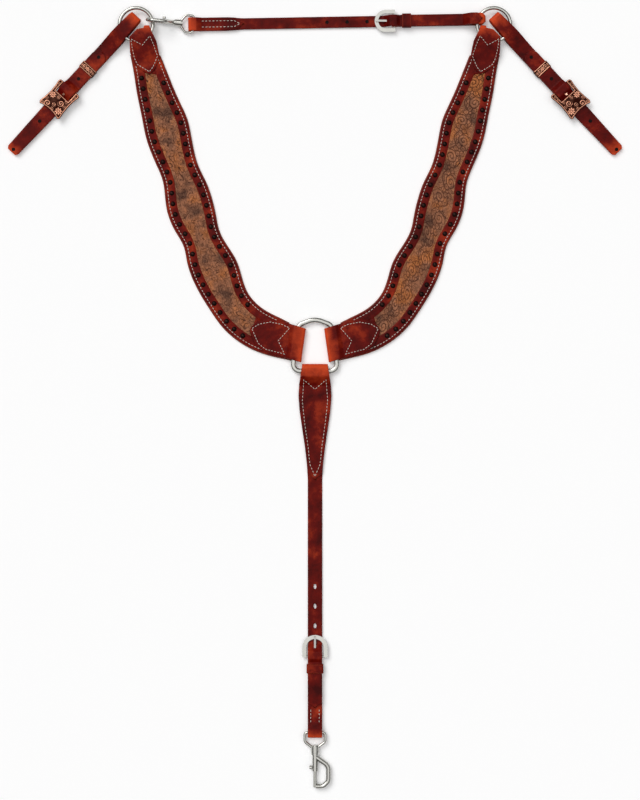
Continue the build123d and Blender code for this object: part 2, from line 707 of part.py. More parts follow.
neck_eye_point = neck_flat.from_local_coords((neck_eye_at, 0, neck_axis_z))
neck_snap_run = Vector(cos(radians(neck_snap_tilt)), -sin(radians(neck_snap_tilt)), 0)
neck_snap_side = neck_snap_run.cross(Vector(0, 0, 1))
neck_eye_plane = Plane(origin=neck_eye_point, x_dir=neck_snap_side, z_dir=(0, 0, 1))
neck_hook_side = neck_snap_side * cos(radians(neck_snap_lean)) + Vector(0, 0, sin(radians(neck_snap_lean)))
neck_hook_plane = Plane(origin=neck_eye_point, x_dir=neck_hook_side,
                        z_dir=neck_hook_side.cross(neck_snap_run))
make_snap("neck_snap", neck_eye_plane, neck_hook_plane, -neck_snap_side, neck_snap_scale)

# ---------------------------------------------------------------------------
# Tugs: one strap, folded in the ring and at its far end, whose free end comes back through the buckle
# ---------------------------------------------------------------------------

tug_plane = flat_plane(tug_fold, tug_angle)
tug_low = lift + tug_t / 2
tug_mid = tug_low + tug_t + air
tug_high = tug_mid + tug_t + air
tug_wrap = bar_r + air + tug_t / 2
tug_heel_z = tug_mid + tug_wrap
tug_wrap_high = tug_heel_z + tug_wrap
tug_over = tug_wrap_high + tug_t + air
tug_loop_high = wire_top + air + tug_t / 2
tug_far = tug_length - tug_t / 2
tug_flex_z = (lift + tug_mid + tug_t / 2) / 2
tug_flex_r = (tug_mid + tug_t / 2 - lift) / 2
tug_flex_gap = 0.7
plate_low = tug_mid + 2.6 + tug_t / 2 + loose
plate_t = 3.2
buckle_half = 21.5
buckle_waist = 18.3
arm_gap = 0.7

with BuildPart() as tug_whole:
    with BuildSketch(side_plane(tug_plane)):
        with BuildLine():
            FilletPolyline((tug_heel - 2, tug_wrap_high), (tug_heel + tug_wrap, tug_wrap_high),
                           (tug_heel + tug_wrap, tug_mid), (tug_flex - 5, tug_mid),
                           (tug_flex - 22, tug_loop_high),
                           (tug_t / 2, tug_loop_high), (tug_t / 2, tug_low), (tug_far, tug_low),
                           (tug_far, tug_mid), (tug_plate[1] + 1, tug_mid),
                           (tug_plate[0] - 0.5, tug_mid + 2.4),
                           (tug_heel + 7.5, tug_over), (tug_heel - 2.5, tug_over), (tug_heel - 10, tug_high),
                           (tug_tip, tug_high),
                           radius=[tug_wrap - 0.05, tug_wrap - 0.05, 4, 4, 5, 5, 1.14, 1.14, 20, 5, 3, 3, 4])
        trace(line_width=tug_t)
    extrude(amount=30, both=True)
    with BuildSketch(tug_plane):
        with BuildLine():
            Polyline((-1, tug_half - 2.8), (45, tug_half), (200, tug_half), (tug_length - 4, tug_end_half),
                     (tug_length + 1, tug_end_half - 4), (tug_length + 1, 4 - tug_end_half),
                     (tug_length - 4, -tug_end_half), (200, -tug_half), (45, -tug_half), (-1, 2.8 - tug_half),
                     close=True)
        make_face()
    extrude(amount=40, mode=Mode.INTERSECT)
    add(cut_holes(tug_plane, tug_holes, 4.2, 4.6), mode=Mode.SUBTRACT)
    add(cut_holes(tug_plane, [tug_heel + 9.5], 4.4, 11), mode=Mode.SUBTRACT)
    with BuildSketch(tug_plane.offset(tug_mid + tug_t / 2 + air / 2)):
        with Locations((tug_tip + tug_half / 2, 0)):
            Rectangle(tug_half, 4 * tug_half)
        with Locations((tug_tip + tug_half, 0)):
            Circle(tug_half, mode=Mode.SUBTRACT)
    extrude(amount=tug_t + air, mode=Mode.SUBTRACT)

with BuildPart() as tug_bend:
    with BuildSketch(side_plane(tug_plane)):
        with Locations((tug_flex - 60, 0)):
            Rectangle(120, 60)
        with Locations((tug_flex, tug_flex_z)):
            Circle(tug_flex_r)
    extrude(amount=40, both=True)
with BuildPart() as tug_bend_clear:
    with BuildSketch(side_plane(tug_plane)):
        with Locations((tug_flex - 60, 0)):
            Rectangle(120, 60)
        with Locations((tug_flex, tug_flex_z)):
            Circle(tug_flex_r + tug_flex_gap)
    extrude(amount=40, both=True)
with BuildPart() as tug_loop_left:
    add(tug_whole.part)
    add(tug_bend.part, mode=Mode.INTERSECT)
with BuildPart() as tug_strap_left:
    add(tug_whole.part)
    add(tug_bend_clear.part, mode=Mode.SUBTRACT)

with BuildPart() as tug_buckle_left:
    with BuildSketch(tug_plane.offset(plate_low)):
        with BuildLine():
            upper = Spline((tug_heel - 3, buckle_half), (tug_plate[0] + 5, buckle_waist),
                           (tug_plate[1], buckle_half))
            lower = Spline((tug_heel - 3, -buckle_half), (tug_plate[0] + 5, -buckle_waist),
                           (tug_plate[1], -buckle_half))
            ThreePointArc(upper @ 1, (tug_plate[1] - 3.5, 0), lower @ 1)
            Line(upper @ 0, lower @ 0)
        make_face()
        with Locations(((tug_heel - 10 + tug_plate[0]) / 2, 0)):
            Rectangle(tug_plate[0] - tug_heel + 10, 2 * (tug_half + arm_gap), mode=Mode.SUBTRACT)
    extrude(amount=plate_t)
    with BuildSketch(tug_plane.offset(tug_heel_z - bar_r - 0.5)):
        for turn in (1, -1):
            with Locations((tug_heel + 1.5, turn * (tug_half + arm_gap + 2.4))):
                Rectangle(8, 4.8)
    extrude(amount=plate_low - tug_heel_z + bar_r + 0.5)
    with BuildSketch(side_plane(tug_plane)):
        with Locations((tug_heel, tug_heel_z)):
            Circle(bar_r + 0.03)
    extrude(amount=tug_half + arm_gap + 3.5, both=True, mode=Mode.SUBTRACT)

with BuildPart() as tug_heel_bar_left:
    with BuildSketch(side_plane(tug_plane)):
        with Locations((tug_heel, tug_heel_z)):
            Circle(bar_r)
    extrude(amount=tug_half + arm_gap + 3.4, both=True)

with BuildPart() as tug_tongue_left:
    with BuildSketch(side_plane(tug_plane)):
        with BuildLine():
            Polyline((tug_heel + bar_r + 1, tug_heel_z + 0.4),
                     (tug_plate[0] - 1.6, plate_low + plate_t - 0.2))
        trace(line_width=2.4)
        with Locations((tug_heel, tug_heel_z)):
            Circle(bar_r + 1.2)
            Circle(bar_r + 0.05, mode=Mode.SUBTRACT)
    extrude(amount=tongue_w / 2 - 0.1, both=True)

with BuildPart() as tongue_slot:
    with BuildSketch(tug_plane.offset(tug_mid - tug_t / 2 - air / 2)):
        with Locations((tug_heel + 1, 0)):
            Rectangle(13, tongue_w + 1.0)
    extrude(amount=tug_wrap_high + tug_t / 2 + air - tug_mid + tug_t / 2)
with BuildPart() as tug_strap_slotted:
    add(tug_strap_left.part)
    add(tongue_slot.part, mode=Mode.SUBTRACT)

keeper_wall = 1.05
with BuildPart() as tug_keeper_left:
    with BuildSketch(Plane(origin=tug_plane.from_local_coords((tug_keeper_at - 6, 0, 0)),
                           x_dir=tug_plane.y_dir,
                           z_dir=tug_plane.x_dir)):
        with Locations((0, (tug_high + tug_t / 2 + lift) / 2)):
            RectangleRounded(2 * (tug_half + loose + keeper_wall),
                             tug_high + tug_t / 2 - lift + 2 * (0.15 + keeper_wall), 1.6)
            RectangleRounded(2 * (tug_half + loose), tug_high + tug_t / 2 - lift + 0.3, 0.6,
                             mode=Mode.SUBTRACT)
    extrude(amount=12)

tug_pieces = [(tug_loop_left, "tug_loop"), (tug_strap_slotted, "tug_strap"),
              (tug_buckle_left, "tug_buckle"), (tug_heel_bar_left, "tug_heel_bar"),
              (tug_tongue_left, "tug_tongue"), (tug_keeper_left, "tug_keeper")]
for piece, name in tug_pieces:
    save(piece, f"{name}_left")
    save(mirrored(piece), f"{name}_right")
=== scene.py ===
"""Looks of a western breastplate: carved and stitched leather, embossed hide, copper and nickel hardware.

Every length of the pieces is in millimetres and is turned to metres once, when a mesh is written; the
studio's lengths and the depths of bumps are in metres. Straps are rounded ribbons carried along a bent side
path, and the collar is a grid between its two scalloped edges.
"""

import logging
from dataclasses import dataclass
from enum import Enum
from math import cos, radians, sin
from typing import Callable, Sequence

import bmesh
import bpy
import numpy as np
from mathutils import Matrix, Vector


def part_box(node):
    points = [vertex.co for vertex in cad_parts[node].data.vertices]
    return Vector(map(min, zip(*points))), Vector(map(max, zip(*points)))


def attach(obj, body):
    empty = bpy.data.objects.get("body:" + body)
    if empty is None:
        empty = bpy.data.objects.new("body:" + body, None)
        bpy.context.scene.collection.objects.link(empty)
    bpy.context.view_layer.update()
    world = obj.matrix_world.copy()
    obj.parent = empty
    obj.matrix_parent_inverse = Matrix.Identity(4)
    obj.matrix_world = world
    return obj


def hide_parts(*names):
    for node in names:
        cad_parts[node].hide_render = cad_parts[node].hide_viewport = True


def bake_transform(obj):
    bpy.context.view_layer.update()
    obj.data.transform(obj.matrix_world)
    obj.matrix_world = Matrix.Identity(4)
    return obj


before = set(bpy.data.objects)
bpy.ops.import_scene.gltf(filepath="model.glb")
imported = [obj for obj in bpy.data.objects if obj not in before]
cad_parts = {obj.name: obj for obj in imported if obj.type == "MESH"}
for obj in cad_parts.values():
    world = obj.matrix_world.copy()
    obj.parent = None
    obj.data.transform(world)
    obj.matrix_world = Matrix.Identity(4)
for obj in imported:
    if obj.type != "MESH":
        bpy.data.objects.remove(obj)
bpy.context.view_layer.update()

MM = 0.001
SIDES = ("left", "right")
LOG = logging.getLogger("breastplate")
Array = np.ndarray


class Finish(Enum):
    """The record's material slots."""

    SADDLE = "saddle_leather"
    BACKING = "backing_leather"
    HIDE = "inlay_hide"
    SPOT = "dark_spots"
    COPPER = "antique_copper"
    NICKEL = "nickel_steel"
    SPRING = "spring_steel"


# --------------------------------------------------------------------------- shader maths


class Wire:
    """A number socket of a material, on which Python's operators add Math nodes."""

    def __init__(self, shop: "Shop", socket: bpy.types.NodeSocket) -> None:
        """Keep the socket and the material that it belongs to."""
        self.shop = shop
        self.socket = socket

    def _math(self, operation: str, *values: "Wire | float") -> "Wire":
        """Add one Math node.

        Args:
            operation: Blender's name of the operation.
            values: its inputs in order.

        Returns:
            The node's output.
        """
        inputs = dict(enumerate(values))
        return self.shop.node("ShaderNodeMath", {"operation": operation}, inputs).out(0)

    def __add__(self, other: "Wire | float") -> "Wire":
        """Sum."""
        return self._math("ADD", self, other)

    def __sub__(self, other: "Wire | float") -> "Wire":
        """Difference."""
        return self._math("SUBTRACT", self, other)

    def __rsub__(self, other: float) -> "Wire":
        """Difference from a number."""
        return self._math("SUBTRACT", other, self)

    def __mul__(self, other: "Wire | float") -> "Wire":
        """Product."""
        return self._math("MULTIPLY", self, other)

    __radd__ = __add__
    __rmul__ = __mul__

    def size(self) -> "Wire":
        """Without its sign."""
        return self._math("ABSOLUTE", self)

    def clamp(self) -> "Wire":
        """Held between 0 and 1."""
        return self._math("MINIMUM", self._math("MAXIMUM", self, 0.0), 1.0)


@dataclass
class Placed:
    """A node that has been placed in a material."""

    shop: "Shop"
    node: bpy.types.Node

    def out(self, key: int | str) -> Wire:
        """One of the node's outputs."""
        return Wire(self.shop, self.node.outputs[key])


class Shop:
    """One material and the nodes in it."""

    def __init__(self, name: str) -> None:
        """Start a material that holds only its output node."""
        self.material = bpy.data.materials.new(name)
        self.material.use_nodes = True
        self.tree = self.material.node_tree
        self.tree.nodes.clear()
        self.output = self.tree.nodes.new("ShaderNodeOutputMaterial")

    def node(self, kind: str, settings: dict | None = None, inputs: dict | None = None) -> Placed:
        """Add any node.

        Args:
            kind: Blender's type name.
            settings: properties set before the sockets; "stops" fills a colour ramp.
            inputs: values or wires by socket name or number.

        Returns:
            The placed node.
        """
        made = self.tree.nodes.new(kind)
        for key, value in (settings or {}).items():
            if key == "stops":
                ramp = made.color_ramp
                while len(ramp.elements) < len(value):
                    ramp.elements.new(0.5)
                for element, (place, colour) in zip(ramp.elements, value):
                    element.position = place
                    element.color = (*colour, 1.0)
            else:
                setattr(made, key, value)
        for key, value in (inputs or {}).items():
            if isinstance(value, Wire):
                self.tree.links.new(value.socket, made.inputs[key])
            elif isinstance(value, tuple) and len(value) == 3 and made.inputs[key].type == "RGBA":
                made.inputs[key].default_value = (*value, 1.0)
            else:
                made.inputs[key].default_value = value
        return Placed(self, made)

    def coords(self, stretch: tuple = (1.0, 1.0, 1.0)) -> Wire:
        """Object coordinates, scaled along each axis."""
        source = self.node("ShaderNodeTexCoord").out("Object")
        return self.node("ShaderNodeMapping", None, {"Vector": source, "Scale": stretch}).out(0)

    def noise(self, at: Wire, scale: float, detail: float, rough: float) -> Wire:
        """Value of a noise field; scale is in waves per unit of the coordinates."""
        values = {"Vector": at, "Scale": scale, "Detail": detail, "Roughness": rough}
        return self.node("ShaderNodeTexNoise", None, values).out(0)

    def attribute(self, name: str) -> Wire:
        """Value of a number stored on the mesh's points."""
        return self.node("ShaderNodeAttribute", {"attribute_name": name}).out("Fac")

    def ramp(self, value: Wire, stops: Sequence[tuple]) -> Wire:
        """Colour picked from stops of (place, colour)."""
        return self.node("ShaderNodeValToRGB", {"stops": stops}, {0: value}).out(0)

    def mix(self, share: Wire | float, first: Wire | tuple, second: Wire | tuple) -> Wire:
        """Colour between two colours."""
        values = {0: share, 6: first, 7: second}
        return self.node("ShaderNodeMix", {"data_type": "RGBA"}, values).out(2)

    def bump(self, height: Wire, depth: float) -> Wire:
        """Normal bent by a height in the unit of depth, which is in metres."""
        values = {"Strength": 1.0, "Distance": depth, "Height": height}
        return self.node("ShaderNodeBump", None, values).out(0)

    def surface(self, **inputs: Wire | float | tuple) -> bpy.types.Material:
        """Close the material with the main shader.

        Args:
            inputs: the shader's sockets, with an underscore for each space.

        Returns:
            The finished material.
        """
        named = {key.replace("_", " "): value for key, value in inputs.items()}
        shader = self.node("ShaderNodeBsdfPrincipled", None, named)
        self.tree.links.new(shader.node.outputs[0], self.output.inputs[0])
        return self.material


@dataclass(frozen=True)
class Leather:
    """Oiled leather: mottled dye, fine pores, a paler burnished edge, and folds lightened partly by
    stretching and partly by a painted highlight.
    """

    name: str
    deep: tuple
    middle: tuple
    bright: tuple
    edge: tuple
    roughness: float = 0.36

    def build(self) -> bpy.types.Material:
        """The leather's material; "edge" on the points marks burnished edges, and the fold mark lightens
        folds, partly as stretched oiled leather and partly as a painted highlight.
        """
        shop = Shop(self.name)
        at = shop.coords()
        cloud = shop.noise(at, 28.0, 5.0, 0.6)
        grain = shop.noise(at, 900.0, 3.0, 0.6)
        pull = shop.attribute("pull")
        streak = shop.noise(at, 75.0, 4.0, 0.65)
        # folds are lightened: partly the paler colour of stretched oiled leather, partly a painted highlight
        # on the fold's rounded top
        level = cloud * 0.7 + streak * 0.3 + pull * 0.40 + (grain - 0.5) * 0.14
        dye = shop.ramp(level.clamp(), [(0.36, self.deep), (0.52, self.middle), (0.86, self.bright)])
        colour = shop.mix(shop.attribute("edge").clamp(), dye, self.edge)
        pores = shop.node("ShaderNodeTexVoronoi", {"feature": "F1"}, {"Vector": at, "Scale": 1500.0}).out(0)
        return shop.surface(
            Base_Color=colour,
            Roughness=(self.roughness + (cloud - 0.5) * 0.22).clamp(),
            Specular_IOR_Level=0.07,
            Normal=shop.bump(grain * 0.6 + pores * 0.5, 0.00012),
        )


@dataclass(frozen=True)
class Hide:
    """Embossed hide: mottled tan and copper; dark dye together with painted shade darkens its carved grooves,
    and dark dye its fine veins.
    """

    name: str
    line: tuple
    grey: tuple
    tan: tuple
    copper: tuple

    def build(self) -> bpy.types.Material:
        """The hide's material; "relief" on the points is 0 in a tooled line and 1 between lines."""
        shop = Shop(self.name)
        at = shop.coords()
        wander = shop.noise(at, 26.0, 3.0, 0.6)
        ground = shop.ramp(wander, [(0.36, self.grey), (0.50, self.tan), (0.64, self.copper)])
        vein = shop.noise(at, 95.0, 5.0, 0.75)
        thin = ((vein - 0.5).size() * 16.0).clamp()
        speck = shop.noise(at, 1100.0, 3.0, 0.7)
        # where the hide is carved down, in tooled lines and strokes, it is darkened partly by dye and partly
        # by painted shade in the grooves; the veins are dark dye
        kept = (shop.attribute("relief") * (0.50 + thin * 0.50) + (speck - 0.5) * 0.35).clamp()
        return shop.surface(
            Base_Color=shop.mix(kept, self.line, ground),
            Specular_IOR_Level=0.12,
            Roughness=(0.66 - wander * 0.2).clamp(),
            Normal=shop.bump(kept, 0.00025),
        )


@dataclass(frozen=True)
class Metal:
    """Plated or antiqued metal with fine scratches and a tarnish that gathers in hollows."""

    name: str
    bright: tuple
    tarnish: tuple
    roughness: float
    worn: float

    def build(self) -> bpy.types.Material:
        """The metal's material; "relief" on the points, where a piece has it, marks what is rubbed bright."""
        shop = Shop(self.name)
        at = shop.coords()
        cloud = shop.noise(at, 60.0, 5.0, 0.6)
        scratch = shop.noise(shop.coords((1.0, 9.0, 1.0)), 700.0, 2.0, 0.5)
        dark = (self.worn * (1.0 - shop.attribute("relief")) + (cloud - 0.5) * 0.5 * self.worn).clamp()
        return shop.surface(
            Base_Color=shop.mix(dark, self.bright, self.tarnish),
            Metallic=1.0,
            Roughness=(self.roughness + dark * 0.3 + (cloud - 0.5) * 0.12).clamp(),
            Normal=shop.bump(scratch, 0.00002),
        )


@dataclass(frozen=True)
class Thread:
    """Waxed sewing thread with a fine twist."""

    name: str
    colour: tuple
    shade: tuple

    def build(self) -> bpy.types.Material:
        """The thread's material."""
        shop = Shop(self.name)
        twist = shop.noise(shop.coords(), 1600.0, 2.0, 0.5)
        colour = shop.mix(twist, self.shade, self.colour)
        return shop.surface(Base_Color=colour, Roughness=0.7, Normal=shop.bump(twist, 0.0001))


# --------------------------------------------------------------------------- surfaces in numpy

RIM = 9                     # points round each rounded edge of a strap
SHRUNK = 0.02               # share of a section that is left where it closes an end
CORNER_SHARE = 0.49         # how much of a straight one rounded corner may take
SPLINE_POINTS = 4000        # read from a spline before it is evened out
SEAM_STEP = 1.5             # from point to point of the line that a seam follows


def grid_faces(rows: int, columns: int, closed_rows: bool = False, closed_columns: bool = False) -> Array:
    """Quads of a grid whose points run row by row.

    Args:
        rows: points along the first parameter.
        columns: points along the second.
        closed_rows: join the last row to the first.
        closed_columns: join the last column to the first.

    Returns:
        Point numbers, four to a face.
    """
    i = np.arange(rows if closed_rows else rows - 1)
    j = np.arange(columns if closed_columns else columns - 1)
    i, j = (part.ravel() for part in np.meshgrid(i, j, indexing="ij"))
    below, beside = (i + 1) % rows, (j + 1) % columns
    return np.stack([i * columns + j, below * columns + j, below * columns + beside, i * columns + beside], 1)


def copies(one: Array, count: int, stride: int) -> Array:
    """Faces of one shape repeated over copies that hold stride points each."""
    return (one[None] + (np.arange(count) * stride)[:, None, None]).reshape(-1, 4)


def unit(vectors: Array) -> Array:
    """The same directions with a length of 1."""
    return vectors / np.linalg.norm(vectors, axis=1)[:, None]


def run_of(curve: Array) -> Array:
    """Length from a polyline's start to each of its points."""
    return np.concatenate([[0], np.cumsum(np.linalg.norm(np.diff(curve, axis=0), axis=1))])


@dataclass
class Skin:
    """Points in millimetres, faces of four points, and numbers carried by the points."""

    points: Array
    faces: Array
    marks: dict[str, Array]

    def __add__(self, other: "Skin") -> "Skin":
        """Both skins as one."""
        shared = set(self.marks) | set(other.marks)
        marks = {
            key: np.concatenate([self.marks.get(key, np.zeros(len(self.points))),
                                 other.marks.get(key, np.zeros(len(other.points)))])
            for key in sorted(shared)
        }
        faces = np.concatenate([self.faces, other.faces + len(self.points)])
        return Skin(np.concatenate([self.points, other.points]), faces, marks)

    def mirrored(self) -> "Skin":
        """The same skin on the other side of X = 0, still facing outwards."""
        return Skin(self.points * np.array([-1.0, 1.0, 1.0]), self.faces[:, ::-1], dict(self.marks))

    def piece(self, name: str, material: bpy.types.Material, finish: Finish) -> bpy.types.Object:
        """Write the skin as a Blender object.

        Args:
            name: the piece's name.
            material: what it is dressed in.
            finish: its slot in the record; not used.

        Returns:
            The object, smooth shaded, with its marks as point attributes.
        """
        mesh = bpy.data.meshes.new(name)
        mesh.from_pydata((self.points * MM).tolist(), [], self.faces.tolist())
        for key, values in self.marks.items():
            if key not in ("u", "v"):
                attribute = mesh.attributes.new(key, "FLOAT", "POINT")
                attribute.data.foreach_set("value", values.astype(np.float32))
        if "u" in self.marks:
            loops = np.zeros(len(mesh.loops), np.int32)
            mesh.loops.foreach_get("vertex_index", loops)
            uv = np.stack([self.marks["u"][loops], self.marks["v"][loops]], 1)
            mesh.uv_layers.new(name="UVMap").data.foreach_set("uv", uv.ravel().astype(np.float32))
        mesh.validate()
        mesh.shade_smooth()
        mesh.materials.append(material)
        made = bpy.data.objects.new(name, mesh)
        bpy.context.scene.collection.objects.link(made)
        LOG.info("%s: %d faces", name, len(mesh.polygons))
        return made


def natural_spline(knots: Sequence[tuple], count: int) -> Array:
    """Smooth curve through points, even in length.

    A natural cubic through the knots, with the distance between knots as its parameter: the second
    derivatives solve one tridiagonal system, and the curve is then read again at equal lengths.

    Args:
        knots: the points it passes.
        count: how many points to give back.

    Returns:
        Points along the curve.
    """
    q = np.asarray(knots, float)
    t = run_of(q)
    h = np.diff(t)
    system = np.eye(len(q))
    inner = np.arange(1, len(q) - 1)
    system[inner, inner - 1], system[inner, inner + 1] = h[:-1], h[1:]
    system[inner, inner] = 2 * (h[:-1] + h[1:])
    right = np.zeros_like(q)
    slope = np.diff(q, axis=0) / h[:, None]
    right[1:-1] = 6 * np.diff(slope, axis=0)
    bend = np.linalg.solve(system, right)
    at = np.linspace(0, t[-1], SPLINE_POINTS)
    k = np.clip(np.searchsorted(t, at, side="right") - 1, 0, len(h) - 1)
    a, b = ((t[k + 1] - at) / h[k])[:, None], ((at - t[k]) / h[k])[:, None]
    bow = (a**3 - a) * bend[k] + (b**3 - b) * bend[k + 1]
    curve = a * q[k] + b * q[k + 1] + bow * (h[k] ** 2)[:, None] / 6
    return along(curve, np.linspace(0, 1, count))


def along(curve: Array, share: Array) -> Array:
    """Points of a polyline at shares of its length."""
    t = run_of(curve)
    return np.stack([np.interp(share * t[-1], t, curve[:, axis]) for axis in range(curve.shape[1])], 1)


def inward(curve: Array, turn: float) -> Array:
    """Unit normals of a plane curve; turn 1 is to the left of its run and -1 to the right."""
    run = unit(np.gradient(curve, axis=0))
    return turn * np.stack([-run[:, 1], run[:, 0]], 1)


def bent(corners: Sequence[tuple], radii: Sequence[float], step: float = 2.5) -> Array:
    """Polyline with round corners, as dense points.

    Each corner is cut back by radius times the tangent of half its turn and joined by an arc about the
    centre that lies the same radius from both runs.

    Args:
        corners: the path's points.
        radii: one radius for each inner corner.
        step: longest distance between points on a straight.

    Returns:
        Points along the path.
    """
    q = np.asarray(corners, float)
    out = [q[:1]]
    for before, at, after, radius in zip(q[:-2], q[1:-1], q[2:], radii):
        to_before, to_after = np.linalg.norm(before - at), np.linalg.norm(after - at)
        a, b = (before - at) / to_before, (after - at) / to_after
        opening = np.arccos(np.clip(a @ b, -1, 1))
        back = min(radius / np.tan(opening / 2), CORNER_SHARE * to_before, CORNER_SHARE * to_after)
        first, last = at + a * back, at + b * back
        share = np.linspace(0, 1, 9)[:, None]
        reach = back * np.tan(opening / 2)
        centre = at + (a + b) / np.linalg.norm(a + b) * np.hypot(reach, back)
        arc = (first - centre) * (1 - share) + (last - centre) * share
        out += [centre + arc / np.linalg.norm(arc, axis=1)[:, None] * reach]
    path = np.concatenate(out + [q[-1:]])
    length = np.linalg.norm(np.diff(path, axis=0), axis=1)
    pieces = [np.linspace(0, 1, max(1, int(np.ceil(d / step))), endpoint=False) for d in length]
    dense = [p + (n - p) * s[:, None] for p, n, s in zip(path[:-1], path[1:], pieces)]
    return np.concatenate(dense + [path[-1:]])


def strap_section(thick: float) -> tuple[Array, Array, Array]:
    """Closed outline of a strap cut across: flat faces, half-round burnished edges.

    Returns:
        Share across from -1 to 1, extra reach across in millimetres (zero or negative), and height.
    """
    angle = np.linspace(-np.pi / 2, np.pi / 2, RIM)
    flat = np.linspace(1, -1, 9)[1:-1]
    round_r = thick / 2
    level = 0 * flat
    inset, rise = (1 - np.cos(angle)) * round_r * 0.8, np.sin(angle) * round_r
    share = np.concatenate([np.ones(RIM), flat, -np.ones(RIM), -flat])
    reach = np.concatenate([-inset, level, inset, level])
    height = np.concatenate([rise, level + round_r, -rise, level - round_r])
    return share, reach, height


@dataclass(frozen=True)
class Lay:
    """Where a strap lies: its start on the surface and the way it runs."""

    origin: tuple
    run: tuple

    def frame(self) -> tuple[Array, Array, Array]:
        """Origin, unit run, and unit direction across, to the left of the run."""
        x = np.array([*self.run, 0.0])
        x /= np.linalg.norm(x)
        return np.array([*self.origin, 0.0]), x, np.array([-x[1], x[0], 0.0])

    def place(self, s: Array, y: Array, z: Array) -> Array:
        """Points from places along, across and up."""
        origin, x, across = self.frame()
        return origin + s[..., None] * x + y[..., None] * across + z[..., None] * np.array([0.0, 0.0, 1.0])


Along = Callable[[Array], Array]
Height = Along | float
Limits = tuple[Along, Along]


def ribbon(lay: Lay, path: Array, thick: float, limits: Limits) -> Skin:
    """Strap carried along a side path.

    A closed section with round edges stands square to the path at each of its points. Its right and left
    limits are functions of the side path, so that one ribbon can be a loop, a tab or a point. Both ends are
    closed by shrinking the last section onto its middle. Where the path turns by more than a tenth of a
    radian from point to point, the leather is marked as stretched, which lightens it, and a painted highlight
    is laid over the fold; the mark fades to both sides.

    Args:
        lay: where the strap lies.
        path: side path as (along, up).
        thick: the leather's thickness.
        limits: right-hand and left-hand limits at each point of the path.

    Returns:
        The strap's skin, with "edge" on its burnished edges and a fold mark that lightens its folds, partly
        as stretched leather and partly as a painted highlight.
    """
    tangent = unit(np.gradient(path, axis=0))
    share, reach, height = strap_section(thick)
    path = np.concatenate([path[:1], path, path[-1:]])
    tangent = np.concatenate([tangent[:1], tangent, tangent[-1:]])
    ends = np.ones(len(path))
    ends[[0, -1]] = SHRUNK
    low, high = (limit(path) for limit in limits)
    middle, half = (low + high) / 2, (high - low) / 2
    half = np.maximum(half, thick / 2)
    across = middle[:, None] + (half[:, None] * share + reach) * (0.15 + 0.85 * ends[:, None])
    lift_by = height * ends[:, None]
    s = path[:, :1] - tangent[:, 1:] * lift_by
    z = path[:, 1:] + tangent[:, :1] * lift_by
    turn = np.abs(np.gradient(np.unwrap(np.arctan2(tangent[:, 1], tangent[:, 0]))))
    # sharp turns get the fold mark: the lightening of stretched leather together with a painted highlight,
    # fading to both sides
    sharp = np.clip((turn - 0.10) * 6, 0, 1)
    fade = np.exp(-np.abs(np.arange(-20, 21)) / 7.0) / 4.5
    pull = np.clip(np.convolve(sharp, fade, "same")[:len(sharp)], 0, 1)
    edge = np.clip(1 - np.abs(height) / (thick * 0.42), 0, 1) * (np.abs(share) == 1)
    marks = {
        "edge": np.broadcast_to(edge, across.shape).ravel().copy(),
        "pull": np.broadcast_to(pull[:, None], across.shape).ravel().copy(),
    }
    points = lay.place(s, across, z).reshape(-1, 3)
    return Skin(points, grid_faces(len(path), len(share), closed_columns=True)[:, ::-1], marks)


def shaped(places: Sequence[tuple]) -> Limits:
    """Limits of an even-sided strap from (place along, half width), in rising order."""
    at, half = np.array(places, float).T
    return (lambda path: -np.interp(path[:, 0], at, half)), (lambda path: np.interp(path[:, 0], at, half))


def outlined(lay: Lay, one_side: Sequence[tuple], other_side: Sequence[tuple]) -> Limits:
    """Limits that follow two plan outlines, each given as points of the surface that the strap lies on."""
    origin, run, across = lay.frame()
    tables = []
    for side in (one_side, other_side):
        plan = np.array(side, float) - origin[:2]
        place, reach = plan @ run[:2], plan @ across[:2]
        order = np.argsort(place)
        tables.append((place[order], reach[order]))

    def read(path: Array) -> Array:
        """Both outlines at each point of the path."""
        return np.stack([np.interp(path[:, 0], *table) for table in tables])

    return (lambda path: read(path).min(0)), (lambda path: read(path).max(0))


def tipped(limits: Limits, tip: float, length: float, layer: Along, power: float = 1.0) -> Limits:
    """The same limits narrowed to a point or a round end.

    Args:
        limits: an even-sided strap's limits.
        tip: place of the tip.
        length: from the tip to the full width.
        layer: which points of the path belong to the end.
        power: 1 for a straight-sided point and 0.5 for a round end.

    Returns:
        The narrowed limits.
    """

    def share(path: Array) -> Array:
        """Share of the full width that is left."""
        near = np.clip(np.abs(path[:, 0] - tip) / length, 0.0, 1.0)
        return np.where(layer(path), (1 - (1 - near) ** (1 / power)) ** power, 1.0)

    low, high = limits
    return (lambda path: low(path) * share(path)), (lambda path: high(path) * share(path))


def height_at(height: Height, at: Array) -> Array:
    """The leather's top at places along a strap, from a function of the place or one number."""
    return height(at) if callable(height) else np.full(len(at), float(height))


def seam_on(lay: Lay, places: Sequence[tuple], height: Height) -> Array:
    """Seam points from (along, across) corners, at the height of the leather there."""
    q = np.array(places, float)
    total = np.linalg.norm(np.diff(q, axis=0), axis=1).sum()
    plan = along(q, np.linspace(0, 1, max(3, int(total / SEAM_STEP))))
    return lay.place(plan[:, 0], plan[:, 1], height_at(height, plan[:, 0]))


